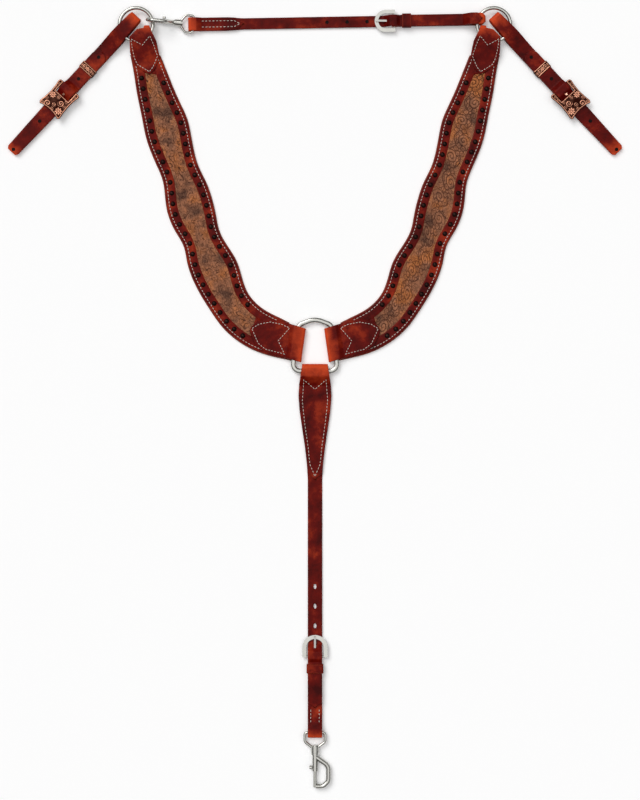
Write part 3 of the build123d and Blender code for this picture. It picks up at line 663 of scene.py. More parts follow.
def sewn(curve: Array, pitch: float = 5.2, long: float = 3.5, wide: float = 1.15) -> Skin:
    """Row of stitches along a curve that lies on the leather.

    Each stitch is an ellipsoid, long along the curve and pressed flat, with 6 by 4 faces: copies of one
    small grid, turned to the curve's run at each place and added up as whole arrays.

    Args:
        curve: points of the seam, on the surface.
        pitch: from stitch to stitch.
        long: a stitch's length.
        wide: its width.

    Returns:
        All the stitches as one skin.
    """
    length = np.linalg.norm(np.diff(curve, axis=0), axis=1).sum()
    count = max(2, int(length / pitch))
    at = along(curve, (np.arange(count) + 0.5) / count)
    run = unit(along(curve, np.clip((np.arange(count) + 0.6) / count, 0, 1)) - at)
    side = unit(np.cross(np.array([0.0, 0.0, 1.0]), run))
    up = np.cross(run, side)
    a, b = np.meshgrid(np.linspace(0.12, np.pi - 0.12, 5), np.linspace(0, 2 * np.pi, 7)[:-1], indexing="ij")
    x, y, z = -np.cos(a) * long / 2, np.sin(a) * np.cos(b) * wide / 2, np.sin(a) * np.sin(b) * wide * 0.42
    shape = [part.ravel()[None, :, None] for part in (x, y, z)]
    points = at[:, None] + shape[0] * run[:, None] + shape[1] * side[:, None] + shape[2] * up[:, None]
    caps = np.array([[0, 1, 2, 3], [0, 3, 4, 5], [27, 26, 25, 24], [29, 28, 27, 24]])
    one = np.concatenate([grid_faces(*a.shape, closed_columns=True)[:, ::-1], caps])
    return Skin(points.reshape(-1, 3), copies(one, count, a.size), {})


def tooling(u: Array, v: Array, pitch: float, half: float, line: float) -> Array:
    """Generic carved scrollwork: 0 in a line and 1 between lines.

    Flowers stand at every pitch, swayed to either side in turn. Each has an eye, five lobed petals whose edge
    is a circle swelling with the cosine of five times the angle, and a line between petals. Midway between
    two flowers a scroll winds: it is where distance from its centre, in turns of a fixed spacing, equals the
    angle in turns. A wreath of leaf points goes round each scroll. The distance to the nearest of these
    lines, over the line's width, is the depth.

    Args:
        u: place along the strip.
        v: place across it, zero in the middle.
        pitch: from flower to flower.
        half: half the strip's width.
        line: half the width of a line.

    Returns:
        Relief at each point.
    """

    def polar(shift: float, sway: float) -> tuple[Array, Array, Array]:
        """Distance, angle and turning sense about the nearest centre."""
        number = np.round(u / pitch - shift)
        sense = 1 - 2 * (number % 2)
        along_it, across_it = u - (number + shift) * pitch, v - sense * sway * half
        return np.hypot(along_it, across_it), np.arctan2(across_it, along_it), sense

    r, angle, sense = polar(0.0, 0.22)
    size = min(half * 0.78, pitch * 0.34)
    lobe = size * (0.82 + 0.18 * np.cos(5 * angle + sense))
    away = np.minimum.reduce([np.abs(r - lobe), np.abs(r - size * 0.24), np.abs(r - lobe * 0.62) + 0.25])
    between = np.abs(np.sin((5 * angle + sense + np.pi) / 2)) * r / 2.5
    away = np.minimum(away, np.where((r > size * 0.3) & (r < lobe), between, 9.0))
    flower = r < lobe
    q, turn, hand = polar(0.5, -0.35)
    gap = size * 0.46
    winding = np.abs(((q / gap - hand * turn / (2 * np.pi)) % 1.0) - 0.5) * gap
    wreath = np.abs(q - size * (1.0 + 0.28 * np.abs(np.sin(4 * turn + hand))))
    scroll = np.where(q < size, winding, 9.0)
    stem = np.abs(v - half * 0.62 * np.sin(np.pi * u / pitch)) * 0.8
    other = np.minimum.reduce([scroll, wreath, np.where(q > size, stem, 9.0)])
    away = np.where(flower, away, np.minimum(away, other))
    veins = np.abs(np.sin(u * 1.1 + 2.4 * np.sin(v * 0.4) + 1.3 * np.sin(u * 0.31))) * 1.6 + 0.2
    away = np.where(~flower & (q > size * 1.25), np.minimum(away, veins), away)
    return np.clip(away / line, 0, 1)


def raised_work(s: Array, y: Array, blooms: Sequence[tuple], scrolls: Sequence[tuple]) -> Array:
    """Cast flowers and scrolls on a sunk ground: 1 on them and 0 on the ground.

    A scroll is a spiral band: where the distance from its centre, in turns of a fixed spacing, less the angle
    in turns, is near a half. A flower is where that distance is under a radius that swells with the cosine of
    eight times the angle, less a ring round its eye and a groove between each two petals.

    Args:
        s: place along the strap.
        y: place across it.
        blooms: flowers as (along, across, radius).
        scrolls: scrolls as (along, across, radius, hand), with a hand of 1 or -1.

    Returns:
        Height between 0 and 1 at each point.
    """
    level = np.zeros(np.broadcast(s, y).shape)
    for at_s, at_y, size, hand in scrolls:
        r, angle = np.hypot(s - at_s, y - at_y), np.arctan2(y - at_y, s - at_s)
        winding = np.abs((r * 1.5 / size - hand * angle / (2 * np.pi)) % 1.0 - 0.5)
        level = np.maximum(level, np.clip((0.30 - winding) * 7, 0, 1) * (r < size))
    for at_s, at_y, size in blooms:
        r, angle = np.hypot(s - at_s, y - at_y), np.arctan2(y - at_y, s - at_s)
        rim = size * (0.84 + 0.16 * np.cos(8 * angle))
        groove = np.clip(np.abs(np.cos(4 * angle)) * r - 0.1, 0, 1)
        petal = np.clip((rim - r) * 2.5, 0, 1) * np.where(r < size * 0.3, 1.0, groove)
        petal = petal * np.clip(np.abs(r - size * 0.3) * 2.5, 0.1, 1)
        level = np.where(r < rim + 0.5, petal, level)
    return level


def punched(lay: Lay, places: Sequence[tuple], height: Height) -> Skin:
    """Punched holes, each a dish dark with painted shade inside a pressed lip: the dish stands in for the
    shaded inside of a punch that is not cut through.

    Each is a profile turned about its centre: from the dish's middle out to the lip and back under the
    leather. The copies are added up as whole arrays.

    Args:
        lay: where the strap lies.
        places: holes as (along, across).
        height: the leather's top there, as a function of the place along or one number.

    Returns:
        All the holes as one skin.
    """
    r = np.array([0.02, 1.1, 2.0, 2.4, 2.65, 2.9, 2.8, 0.02])
    up = np.array([0.02, 0.02, 0.03, 0.10, 0.10, -0.05, -0.4, -0.4])
    turn = np.linspace(0, 2 * np.pi, 17)[:-1]
    at = np.array(places, float)
    z = height_at(height, at[:, 0])
    s = at[:, 0, None, None] + r[:, None] * np.cos(turn)
    y = at[:, 1, None, None] + r[:, None] * np.sin(turn)
    points = lay.place(s, y, np.broadcast_to(z[:, None, None] + up[:, None], s.shape))
    one = grid_faces(len(r), len(turn), closed_columns=True)
    return Skin(points.reshape(-1, 3), copies(one, len(at), r.size * turn.size), {})


def slotted(piece: bpy.types.Object, lay: Lay, places: Sequence[float], long: float, wide: float) -> None:
    """Cut oval slots right through a strap, each with a closed prism whose outline is an ellipse.

    Args:
        piece: the strap.
        lay: where it lies.
        places: middle of each slot along it.
        long: a slot's length.
        wide: its width.
    """
    origin, run, across = lay.frame()
    turn = Matrix((tuple(run), tuple(across), (0.0, 0.0, 1.0))).transposed().to_4x4()
    shape = bmesh.new()
    for place in places:
        at = Matrix.Translation(Vector((origin + run * place) * MM))
        size = Matrix.Diagonal((long / 2 * MM, wide / 2 * MM, 1.0, 1.0))
        bmesh.ops.create_cone(shape, cap_ends=True, segments=24, radius1=1.0, radius2=1.0, depth=0.03,
                              matrix=at @ turn @ size)
    mesh = bpy.data.meshes.new("slot_cutter")
    shape.to_mesh(mesh)
    shape.free()
    cutter = bpy.data.objects.new("slot_cutter", mesh)
    bpy.context.scene.collection.objects.link(cutter)
    cut = piece.modifiers.new("slots", "BOOLEAN")
    cut.operation, cut.solver, cut.object, cut.use_hole_tolerant = "DIFFERENCE", "EXACT", cutter, True
    bpy.context.view_layer.update()
    done = bpy.data.meshes.new_from_object(piece.evaluated_get(bpy.context.evaluated_depsgraph_get()))
    piece.modifiers.clear()
    piece.data = done
    bpy.data.objects.remove(cutter)
    bpy.data.meshes.remove(mesh)


# --------------------------------------------------------------------------- thicknesses and heights

BACK_T = 3.0
FACE_T = 2.4
INLAY_T = 1.2
TAB_T = 2.4
TUG_T = 2.2
AIR = 0.1
LIFT = 1.8
FACE_TOP = BACK_T + FACE_T
TAB_TOP = FACE_TOP + TAB_T
FLEX_Y = 530.0
BAR_R = 1.5
STRAP_LOW = LIFT + TAB_T / 2
STRAP_MID = STRAP_LOW + TAB_T + AIR
STRAP_HIGH = STRAP_MID + TAB_T + AIR
BAR_WRAP = BAR_R + AIR + TAB_T / 2
HEEL_Z = STRAP_LOW + BAR_WRAP
WRAP_HIGH = HEEL_Z + BAR_WRAP
BILLET_HIGH = WRAP_HIGH + TAB_T + AIR
FLOOR_LOW = TAB_T / 2
RING_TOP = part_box("ring_left")[1].z / MM
MIDDLE_RING_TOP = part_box("middle_ring")[1].z / MM
TAB_FOLD = (-17.6, 80.0)    # where the left tab folds round the middle ring
FOLD_GAP = 16.6             # from that fold to the collar's own end
TOP_CUT = 3.4               # from the bend down to the collar's cut top
KEEPER_AT = -26.0           # near end of a leather keeper, from its buckle's heel bar
KEEPER_LONG = 14.0
KEEPER_T = 1.6
KEEPER_AIR = 0.15           # above and below the straps in a keeper
KEEPER_SIDE = 0.3           # beside them

# side paths over a buckle's heel bar: a billet that climbs it, and a strap that is folded round it
OVER_HEEL = ((6.5, BILLET_HIGH), (-3.2, BILLET_HIGH), (-8.4, STRAP_HIGH))
ROUND_HEEL = ((-7.6, STRAP_MID), (-2.4, WRAP_HIGH), (BAR_WRAP, WRAP_HIGH), (BAR_WRAP, STRAP_LOW))

LEATHER = Leather("saddle_leather", (0.045, 0.0005, 0.0003), (0.125, 0.0033, 0.0014), (0.60, 0.060, 0.014),
                  (0.20, 0.020, 0.008))
# near-black painted shade for the inside of punched holes, whose dishes are not cut through the leather
HOLE_SHADE = Leather("punched_hole_shade", (0.003, 0.0004, 0.0003), (0.007, 0.0008, 0.0005), (0.020, 0.003, 0.0015),
               (0.010, 0.001, 0.0008))
BACKING = Leather("backing_leather", (0.050, 0.004, 0.003), (0.12, 0.012, 0.008), (0.24, 0.04, 0.02),
                  (0.30, 0.09, 0.055), 0.5)
# the first colour is for the tooled lines: dark dye together with painted shade in the grooves
HIDE = Hide("inlay_hide", (0.030, 0.006, 0.003), (0.155, 0.070, 0.042), (0.40, 0.160, 0.080),
            (0.52, 0.17, 0.050))
NICKEL = Metal("nickel", (0.78, 0.77, 0.72), (0.10, 0.095, 0.085), 0.14, 0.40)
COPPER = Metal("antique_copper", (0.66, 0.30, 0.19), (0.030, 0.006, 0.004), 0.34, 0.98)
RUBBED_COPPER = Metal("rubbed_copper", (0.70, 0.36, 0.25), (0.060, 0.018, 0.010), 0.28, 0.30)
SPOTS = Metal("dark_spots", (0.075, 0.040, 0.034), (0.012, 0.006, 0.005), 0.22, 0.8)
STEEL = Metal("spring_steel", (0.45, 0.45, 0.45), (0.12, 0.11, 0.10), 0.30, 0.4)
THREAD = Thread("thread", (0.80, 0.74, 0.66), (0.50, 0.43, 0.36))


@dataclass
class Wardrobe:
    """The materials, each made once."""

    leather: bpy.types.Material
    hole_shade: bpy.types.Material
    backing: bpy.types.Material
    hide: bpy.types.Material
    nickel: bpy.types.Material
    copper: bpy.types.Material
    rubbed_copper: bpy.types.Material
    spots: bpy.types.Material
    steel: bpy.types.Material
    thread: bpy.types.Material

    @classmethod
    def stocked(cls) -> "Wardrobe":
        """Build every finish."""
        finishes = (LEATHER, HOLE_SHADE, BACKING, HIDE, NICKEL, COPPER, RUBBED_COPPER, SPOTS, STEEL, THREAD)
        return cls(*(finish.build() for finish in finishes))

    def dress(self, node: str, material: bpy.types.Material) -> None:
        """Give a CAD node another material."""
        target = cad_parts[node]
        target.data.materials.clear()
        target.data.materials.append(material)


def twins(skin: Skin, name: str, material: bpy.types.Material, finish: Finish) -> list[bpy.types.Object]:
    """A left-hand piece and its right-hand mirror image."""
    left = skin.piece(f"{name}_left", material, finish)
    return [left, skin.mirrored().piece(f"{name}_right", material, finish)]


@dataclass
class Collar:
    """Backing, border with its window, embossed hide, and seams.

    The left half is mirrored for the right; only the hides differ, in how deep their carving is.
    """

    outer: tuple = ((-285, 530), (-279, 500), (-274, 468), (-267, 434), (-260, 400), (-244, 358), (-234, 332),
                    (-230.5, 305), (-226, 281), (-215, 256), (-202, 232), (-197, 209), (-189, 184),
                    (-176, 158), (-161, 134), (-143, 109), (-117, 86), (-88, 70.5), (-55, 61), (-22, 54))
    inner: tuple = ((-239, 530), (-231, 510), (-219, 480), (-208, 455), (-196.5, 429), (-191, 406),
                    (-186.5, 382), (-179, 356), (-167, 331), (-158, 305), (-152.5, 282), (-147, 257),
                    (-134, 233), (-119.5, 208), (-112, 184), (-103, 161), (-91, 146), (-77, 135),
                    (-54, 123), (-29, 111), (-11, 104.5))
    rows: int = 520
    inlay_rows: int = 1100
    inset: float = 17.5
    top: float = 499.0
    foot: float = -97.0
    seam: float = 5.5
    seam_top: float = 522.0
    seam_foot: float = -44.0
    flower_pitch: float = 31.0

    def __post_init__(self) -> None:
        """Read both edges, their inward normals, the run along their middle and the width between them."""
        self.a = natural_spline(self.outer, self.rows)
        self.b = natural_spline(self.inner, self.rows)
        self.na, self.nb = inward(self.a, 1.0), inward(self.b, -1.0)
        self.run = run_of((self.a + self.b) / 2)
        self.width = np.linalg.norm(self.a - self.b, axis=1)

    def across(self, outer_in: Sequence[float], shares: Sequence[float], inner_in: Sequence[float],
               limit: float) -> Array:
        """Plan points of the grid.

        Columns run from the outer edge inwards at set distances, then across the middle at set shares,
        then out to the inner edge. Rows past the collar's cut ends are moved back onto the cut.

        Args:
            outer_in: distances from the outer edge.
            shares: places across the middle, 0 to 1.
            inner_in: distances from the inner edge, falling.
            limit: distance from the edges at which the middle starts.

        Returns:
            Points as rows by columns by 2.
        """
        o, i = np.array(outer_in), np.array(inner_in)
        left = self.a[:, None] + self.na[:, None] * o[None, :, None]
        right = self.b[:, None] + self.nb[:, None] * i[None, :, None]
        m0, m1 = self.a + self.na * limit, self.b + self.nb * limit
        s = np.array(shares)[None, :, None]
        middle = m0[:, None] * (1 - s) + m1[:, None] * s
        plan = np.concatenate([left, middle, right], 1)
        plan[..., 1] = np.minimum(plan[..., 1], FLEX_Y - TOP_CUT)
        return self.cut_at_ring(plan)

    @staticmethod
    def cut_at_ring(plan: Array) -> Array:
        """Move what lies past the collar's lower end back onto that end's line."""
        lean = np.array([-10.0, 71.0]) / np.hypot(10.0, 71.0)
        away = np.array([-lean[1], lean[0]])
        past = np.clip(FOLD_GAP - (plan - np.array(TAB_FOLD)) @ away, 0, None)
        return plan + past[..., None] * away

    def back(self) -> Skin:
        """Backing: a closed slab with half-round edges; its section is a loop over and under."""
        angle = np.linspace(-np.pi / 2, np.pi / 2, RIM)
        reach, height = (1 - np.cos(angle)) * BACK_T * 0.4, (1 + np.sin(angle)) * BACK_T / 2
        above, below, limit = 7, 5, 4.0
        up = self.across(reach, np.linspace(0, 1, above), reach[::-1], limit)
        under = self.across([], np.linspace(1, 0, below), [], limit)
        plan = np.concatenate([up, under], 1)
        heights = np.concatenate([height, np.full(above, BACK_T), height[::-1], np.zeros(below)])
        z = np.broadcast_to(heights, plan.shape[:2])
        rim = np.concatenate([np.cos(angle), np.zeros(above), np.cos(angle)[::-1], np.zeros(below)])
        return self.shell(plan, z, {"edge": np.broadcast_to(rim, z.shape)})

    @staticmethod
    def shell(plan: Array, z: Array, marks: dict[str, Array]) -> Skin:
        """Tube of closed sections with both ends capped by a shrunken row."""
        points = np.concatenate([plan, z[..., None]], 2)
        first, last = (row.mean(1, keepdims=True) + (row - row.mean(1, keepdims=True)) * SHRUNK
                       for row in (points[:1], points[-1:]))
        capped = np.concatenate([first, points, last])
        padded = {k: np.concatenate([v[:1], v, v[-1:]]).ravel() for k, v in marks.items()}
        rows, columns = capped.shape[:2]
        return Skin(capped.reshape(-1, 3), grid_faces(rows, columns, closed_columns=True), padded)

    def border_band(self, outside: bool) -> Skin:
        """One side's border: a band from the edge to the window, rounded at both, grooved under its seam."""
        d = np.array([0.9, 0.95, 1.15, 1.5, 2.2, 3.4, 4.6, 5.1, 5.5, 5.9, 6.4, 8.0, 10, 13, 15.4, 16.6,
                      17.15, 17.4, 17.5, 17.5])
        z = np.array([0.0, 0.9, 1.6, 2.0, 2.25, 2.36, 2.34, 2.18, 2.08, 2.18, 2.34, 2.4, 2.4, 2.4, 2.36,
                      2.2, 1.9, 1.4, 0.9, 0.0]) + BACK_T + 0.02
        plan = self.across(d, [], [], 0) if outside else self.across([], [], d, 0)
        rim = np.clip((2.2 - d) / 1.4, 0, 1) + np.clip((d - 16.4) / 1.1, 0, 1) * 0.8
        z = np.broadcast_to(z, plan.shape[:2])
        skin = self.shell(plan, z, {"edge": np.broadcast_to(rim, z.shape)})
        return skin if outside else Skin(skin.points, skin.faces[:, ::-1], skin.marks)

    def end_panel(self, above: bool) -> Skin:
        """Border across one end of the window, between the two bands."""
        shares = np.linspace(0, 1, 15)
        middle = len(shares) // 2
        plan = self.across([], shares, [], self.inset - 0.6)
        keep = plan[:, middle, 1] > self.top - 1 if above else plan[:, middle, 0] > self.foot + 1
        plan = plan[keep]
        z = np.full(plan.shape[:2], FACE_TOP - 0.02)
        z[-1 if above else 0] -= 0.9
        both = np.concatenate([plan, plan[:, ::-1]], 1)
        z = np.concatenate([z, np.full(plan.shape[:2], BACK_T + 0.05)], 1)
        return self.shell(both, z, {"edge": np.zeros(z.shape)})

    def inlay(self, scrolls: float, hair: float) -> Skin:
        """Embossed hide in the window.

        The grid runs between the two bands. Its height is the hide's own, cut by carved lines half a
        millimetre deep and by fine strokes that are sines of the place across, shifted along the strip.

        Args:
            scrolls: depth of the carved flowers and scrolls.
            hair: depth of the strokes.

        Returns:
            The hide's top and sides, with "relief" and a map along the strip.
        """
        columns = 64
        shares = np.linspace(0, 1, columns)
        fine = Collar(rows=self.inlay_rows)
        plan = fine.across([], shares, [], self.inset - 2.5)
        middle = plan[:, columns // 2]
        keep = (middle[:, 1] < self.top + 3) & (middle[:, 0] < self.foot + 3)
        plan, run, width = plan[keep], fine.run[keep], fine.width[keep] - 2 * self.inset
        v = (shares[None] - 0.5) * (width[:, None] + 5)
        u = np.broadcast_to(run[:, None], v.shape)
        carved = tooling(u, v, self.flower_pitch, float(width.mean()) / 2, 1.0)
        sway = 1.8 * np.sin(u * 0.19) + 1.6 * np.sin(u * 0.11 + v * 0.35) + np.sin(u * 0.37 - v * 0.5)
        strokes = np.abs(np.sin(v * 0.5 + sway))
        fine_lines = np.clip(strokes * 2.2, 0, 1)
        relief = np.clip(1 - scrolls * (1 - carved) - hair * (1 - fine_lines), 0, 1)
        top = BACK_T + INLAY_T + relief * 0.5
        ends = [columns - 1, 0]
        z = np.concatenate([top, np.full((len(top), 2), BACK_T + 0.04)], 1)
        both = np.concatenate([plan, plan[:, ends]], 1)
        marks = {"relief": np.concatenate([relief, relief[:, ends]], 1),
                 "u": np.concatenate([u, u[:, ends]], 1) / 40, "v": np.concatenate([v, v[:, ends]], 1) / 40}
        return self.shell(both, z, marks)

    def seams(self) -> Skin:
        """Stitches inside both edges."""
        rows = []
        for edge, normal in ((self.a, self.na), (self.b, self.nb)):
            plan = edge + normal * self.seam
            plan = plan[(plan[:, 1] < self.seam_top) & (plan[:, 0] < self.seam_foot)]
            rows.append(sewn(np.column_stack([plan, np.full(len(plan), FACE_TOP - 0.22)]), wide=1.25))
        return rows[0] + rows[1]

    def build(self, kit: Wardrobe) -> None:
        """Make the collar's pieces, which ride on the collar, and dress the spots and the middle ring."""
        bands = self.border_band(True) + self.border_band(False)
        border = bands + self.end_panel(True) + self.end_panel(False)
        left_hide = self.inlay(scrolls=0.45, hair=0.75)
        right_hide = self.inlay(scrolls=1.0, hair=0.25).mirrored()
        hides = [left_hide.piece("hide_left", kit.hide, Finish.HIDE),
                 right_hide.piece("hide_right", kit.hide, Finish.HIDE)]
        groups = {
            "collar_back": twins(self.back(), "backing", kit.backing, Finish.BACKING),
            "collar_border": twins(border, "border", kit.leather, Finish.SADDLE),
            "collar_inlay": hides,
        }
        for node, pair in groups.items():
            for side, piece in zip(SIDES, pair):
                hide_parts(f"{node}_{side}")
                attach(piece, "collar")
        for piece in twins(self.seams(), "collar_seams", kit.thread, Finish.SADDLE):
            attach(piece, "collar")
        for side in SIDES:
            kit.dress(f"collar_spots_{side}", kit.spots)
        kit.dress("middle_ring", kit.nickel)


@dataclass
class Tabs:
    """The folded leather ends of the collar: loops round the upper rings and tabs round the middle ring."""

    ring_lay: Lay = Lay((0.0, 0.0), (0.0, 1.0))
    ring_left_edge: tuple = ((-254, 496.7), (-263.5, 502), (-275, 509), (-280, 518), (-284, 530),
                             (-284.5, 553), (-273, 565), (-263, 566.5), (-262, 571.5))
    ring_right_edge: tuple = ((-253.2, 496.7), (-245.5, 506), (-239.6, 522), (-240, 530), (-244, 549),
                              (-252.6, 566), (-254.2, 571.5))
    ring_seam: tuple = ((-254.4, 500.7), (-262.3, 505.5), (-272.6, 511.8), (-277.2, 521.2), (-280.3, 536.2),
                        (-282, 549.5), (-264.6, 540.6), (-252.9, 554.2), (-246.6, 539), (-241.8, 524.4),
                        (-248.9, 507.8), (-254.4, 500.7))
    middle_lay: Lay = Lay(TAB_FOLD, (-71.0, 10.0))
    middle_upper: tuple = ((-11.8, 105.4), (-49, 117), (-69.5, 121.5), (-90, 117.5), (-101.5, 104.5))
    middle_lower: tuple = ((-10, 60), (-21, 54.2), (-45, 61), (-78, 71), (-91, 79.5), (-101.5, 104))
    middle_seam: tuple = ((-97, 106), (-86.2, 113), (-68.4, 116.2), (-50.8, 112.6), (-39, 107), (-56.5, 87.4),
                          (-46.8, 67), (-76.2, 74.5), (-87, 83.5), (-97, 106))
    fold_y: float = 571.5
    filler_x: tuple = (-282, -241.5)
    filler_z: float = 3.9
    filler_t: float = 2.9

    def ring_height(self, y: Array) -> Array:
        """Top of the loop's upper layer: level on the tab, then rising over the ring."""
        share = np.clip((y - 513) / 44, 0, 1)
        return TAB_TOP + (RING_TOP + 2.5 - TAB_TOP) * share**2 * (3 - 2 * share) + 0.35

    def ring_loop(self) -> Skin:
        """Tab and loop in one strap, with the leather between its layers at the bend."""
        high, low, top = RING_TOP + AIR + TAB_T / 2, TAB_T / 2, FACE_TOP + TAB_T / 2
        fold = self.fold_y - TAB_T / 2
        path = bent([(497, top), (516, top), (554, high), (fold, high), (fold, low), (526.7, low)],
                    [30, 24, 4.5, 4.5], 1.2)
        limits = outlined(self.ring_lay, self.ring_left_edge, self.ring_right_edge)
        left, right = self.filler_x
        filler = ribbon(self.ring_lay, bent([(524, self.filler_z), (537, self.filler_z)], []), self.filler_t,
                        outlined(self.ring_lay, ((left, 520), (left, 540)), ((right, 520), (right, 540))))
        return ribbon(self.ring_lay, path, TAB_T, limits) + filler

    def middle_tab(self) -> Skin:
        """Tab folded round the side of the middle ring."""
        high, low, top = MIDDLE_RING_TOP + AIR + TAB_T / 2, TAB_T / 2, FACE_TOP + TAB_T / 2
        path = bent([(84.5, top), (FOLD_GAP + 8, top), (FOLD_GAP + 1, high), (low, high), (low, low),
                     (FOLD_GAP - 0.3, low)], [3, 3, 3.5, 3.5], 1.2)
        limits = outlined(self.middle_lay, self.middle_upper, self.middle_lower)
        return ribbon(self.middle_lay, path, TAB_T, limits)

    def seam(self, lay: Lay, plan: Sequence[tuple], height: Height) -> Skin:
        """Stitches along a closed plan line."""
        origin, run, across = lay.frame()
        local = np.array(plan, float) - origin[:2]
        places = np.stack([local @ run[:2], local @ across[:2]], 1)
        return sewn(seam_on(lay, places, height), pitch=4.6, long=3.2)

    def build(self, kit: Wardrobe) -> None:
        """Make both kinds of tab, with their seams."""
        loops = twins(self.ring_loop(), "ring_loop_leather", kit.leather, Finish.SADDLE)
        ring_seam = self.seam(self.ring_lay, self.ring_seam, self.ring_height)
        threads = twins(ring_seam, "ring_loop_seam", kit.thread, Finish.SADDLE)
        for side, loop, thread in zip(SIDES, loops, threads):
            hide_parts(f"ring_tab_{side}", f"ring_loop_{side}")
            for piece in (loop, thread):
                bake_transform(piece)
        tabs = twins(self.middle_tab(), "middle_tab_leather", kit.leather, Finish.SADDLE)
        middle_seam = self.seam(self.middle_lay, self.middle_seam, TAB_TOP + 0.05)
        seams = twins(middle_seam, "middle_tab_seam", kit.thread, Finish.SADDLE)
        for side, tab, thread in zip(SIDES, tabs, seams):
            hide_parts(f"middle_tab_{side}")
            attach(tab, "collar")
            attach(thread, "collar")


def band(lay: Lay, at: float, long: float, half: float, low: float, high: float, wall: float,
         relief: Callable[[Array, Array], Array] | None = None) -> Skin:
    """Keeper: a band round a stack of straps.

    Its perimeter is a rounded rectangle (a superellipse of power 9) and its section a closed loop with a
    relief on the outer face.

    Args:
        lay: where the strap lies.
        at: the band's near end along the strap.
        long: its length along the strap.
        half: inner half width.
        low: inner underside.
        high: inner top.
        wall: its thickness.
        relief: height between 0 and 1 from (place round, place along).

    Returns:
        The band's skin.
    """
    turn = np.linspace(0, 2 * np.pi, 161)[:-1]
    dense = np.linspace(0, 2 * np.pi, 4001)
    power = 2 / 9
    shape = [np.sign(f(dense)) * np.abs(f(dense)) ** power for f in (np.cos, np.sin)]
    tall, middle = (high - low) / 2, (high + low) / 2
    loop = np.stack([shape[0] * (half + wall / 2), shape[1] * (tall + wall / 2)], 1)
    loop = along(loop, turn / (2 * np.pi))
    run = unit(np.roll(loop, -1, 0) - np.roll(loop, 1, 0))
    out = np.stack([run[:, 1], -run[:, 0]], 1)
    angle = np.linspace(0, np.pi, 7)
    outer_s = np.linspace(wall / 2, long - wall / 2, 30)
    inset = wall / 2 * (1 - np.sin(angle))
    s = np.concatenate([inset[::-1][:6], outer_s, long - inset[1:]])
    off = np.concatenate([-wall / 2 * np.cos(angle[:6]), np.full(30, wall / 2), wall / 2 * np.cos(angle[1:])])
    girth = np.arange(len(loop)) / len(loop) * 2 * (2 * half + 2 * tall)
    level = np.zeros((len(loop), len(s)))
    if relief is not None:
        level = relief(girth[:, None], s[None] - long / 2) * (off[None] > wall * 0.49) * (out[:, 1:] > 0.7)
    off = off[None] + level * 0.45
    y, z = loop[:, :1] + out[:, :1] * off, loop[:, 1:] + out[:, 1:] * off + middle
    points = lay.place(np.broadcast_to(at + s, y.shape), y, z).reshape(-1, 3)
    rim = np.broadcast_to(((s < wall) | (s > long - wall)).astype(float) * 0.8, y.shape)
    return Skin(points, grid_faces(*y.shape, closed_rows=True, closed_columns=True),
                {"relief": (level * 0.95).ravel(), "edge": rim.ravel()})


def leather_keeper(lay: Lay, strap_half: float, node: str, kit: Wardrobe) -> None:
    """Make the leather keeper of a buckled strap in place of its CAD node, which is also its body.

    Args:
        lay: where the strap lies.
        strap_half: half the strap's width.
        node: the keeper's CAD node.
        kit: the materials.
    """
    low, high = LIFT - KEEPER_AIR, STRAP_HIGH + TAB_T / 2 + KEEPER_AIR
    keeper = band(lay, KEEPER_AT, KEEPER_LONG, strap_half + KEEPER_SIDE, low, high, KEEPER_T)
    worn = keeper.piece(f"{node}_leather", kit.leather, Finish.SADDLE)
    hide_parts(node)
    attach(worn, node)


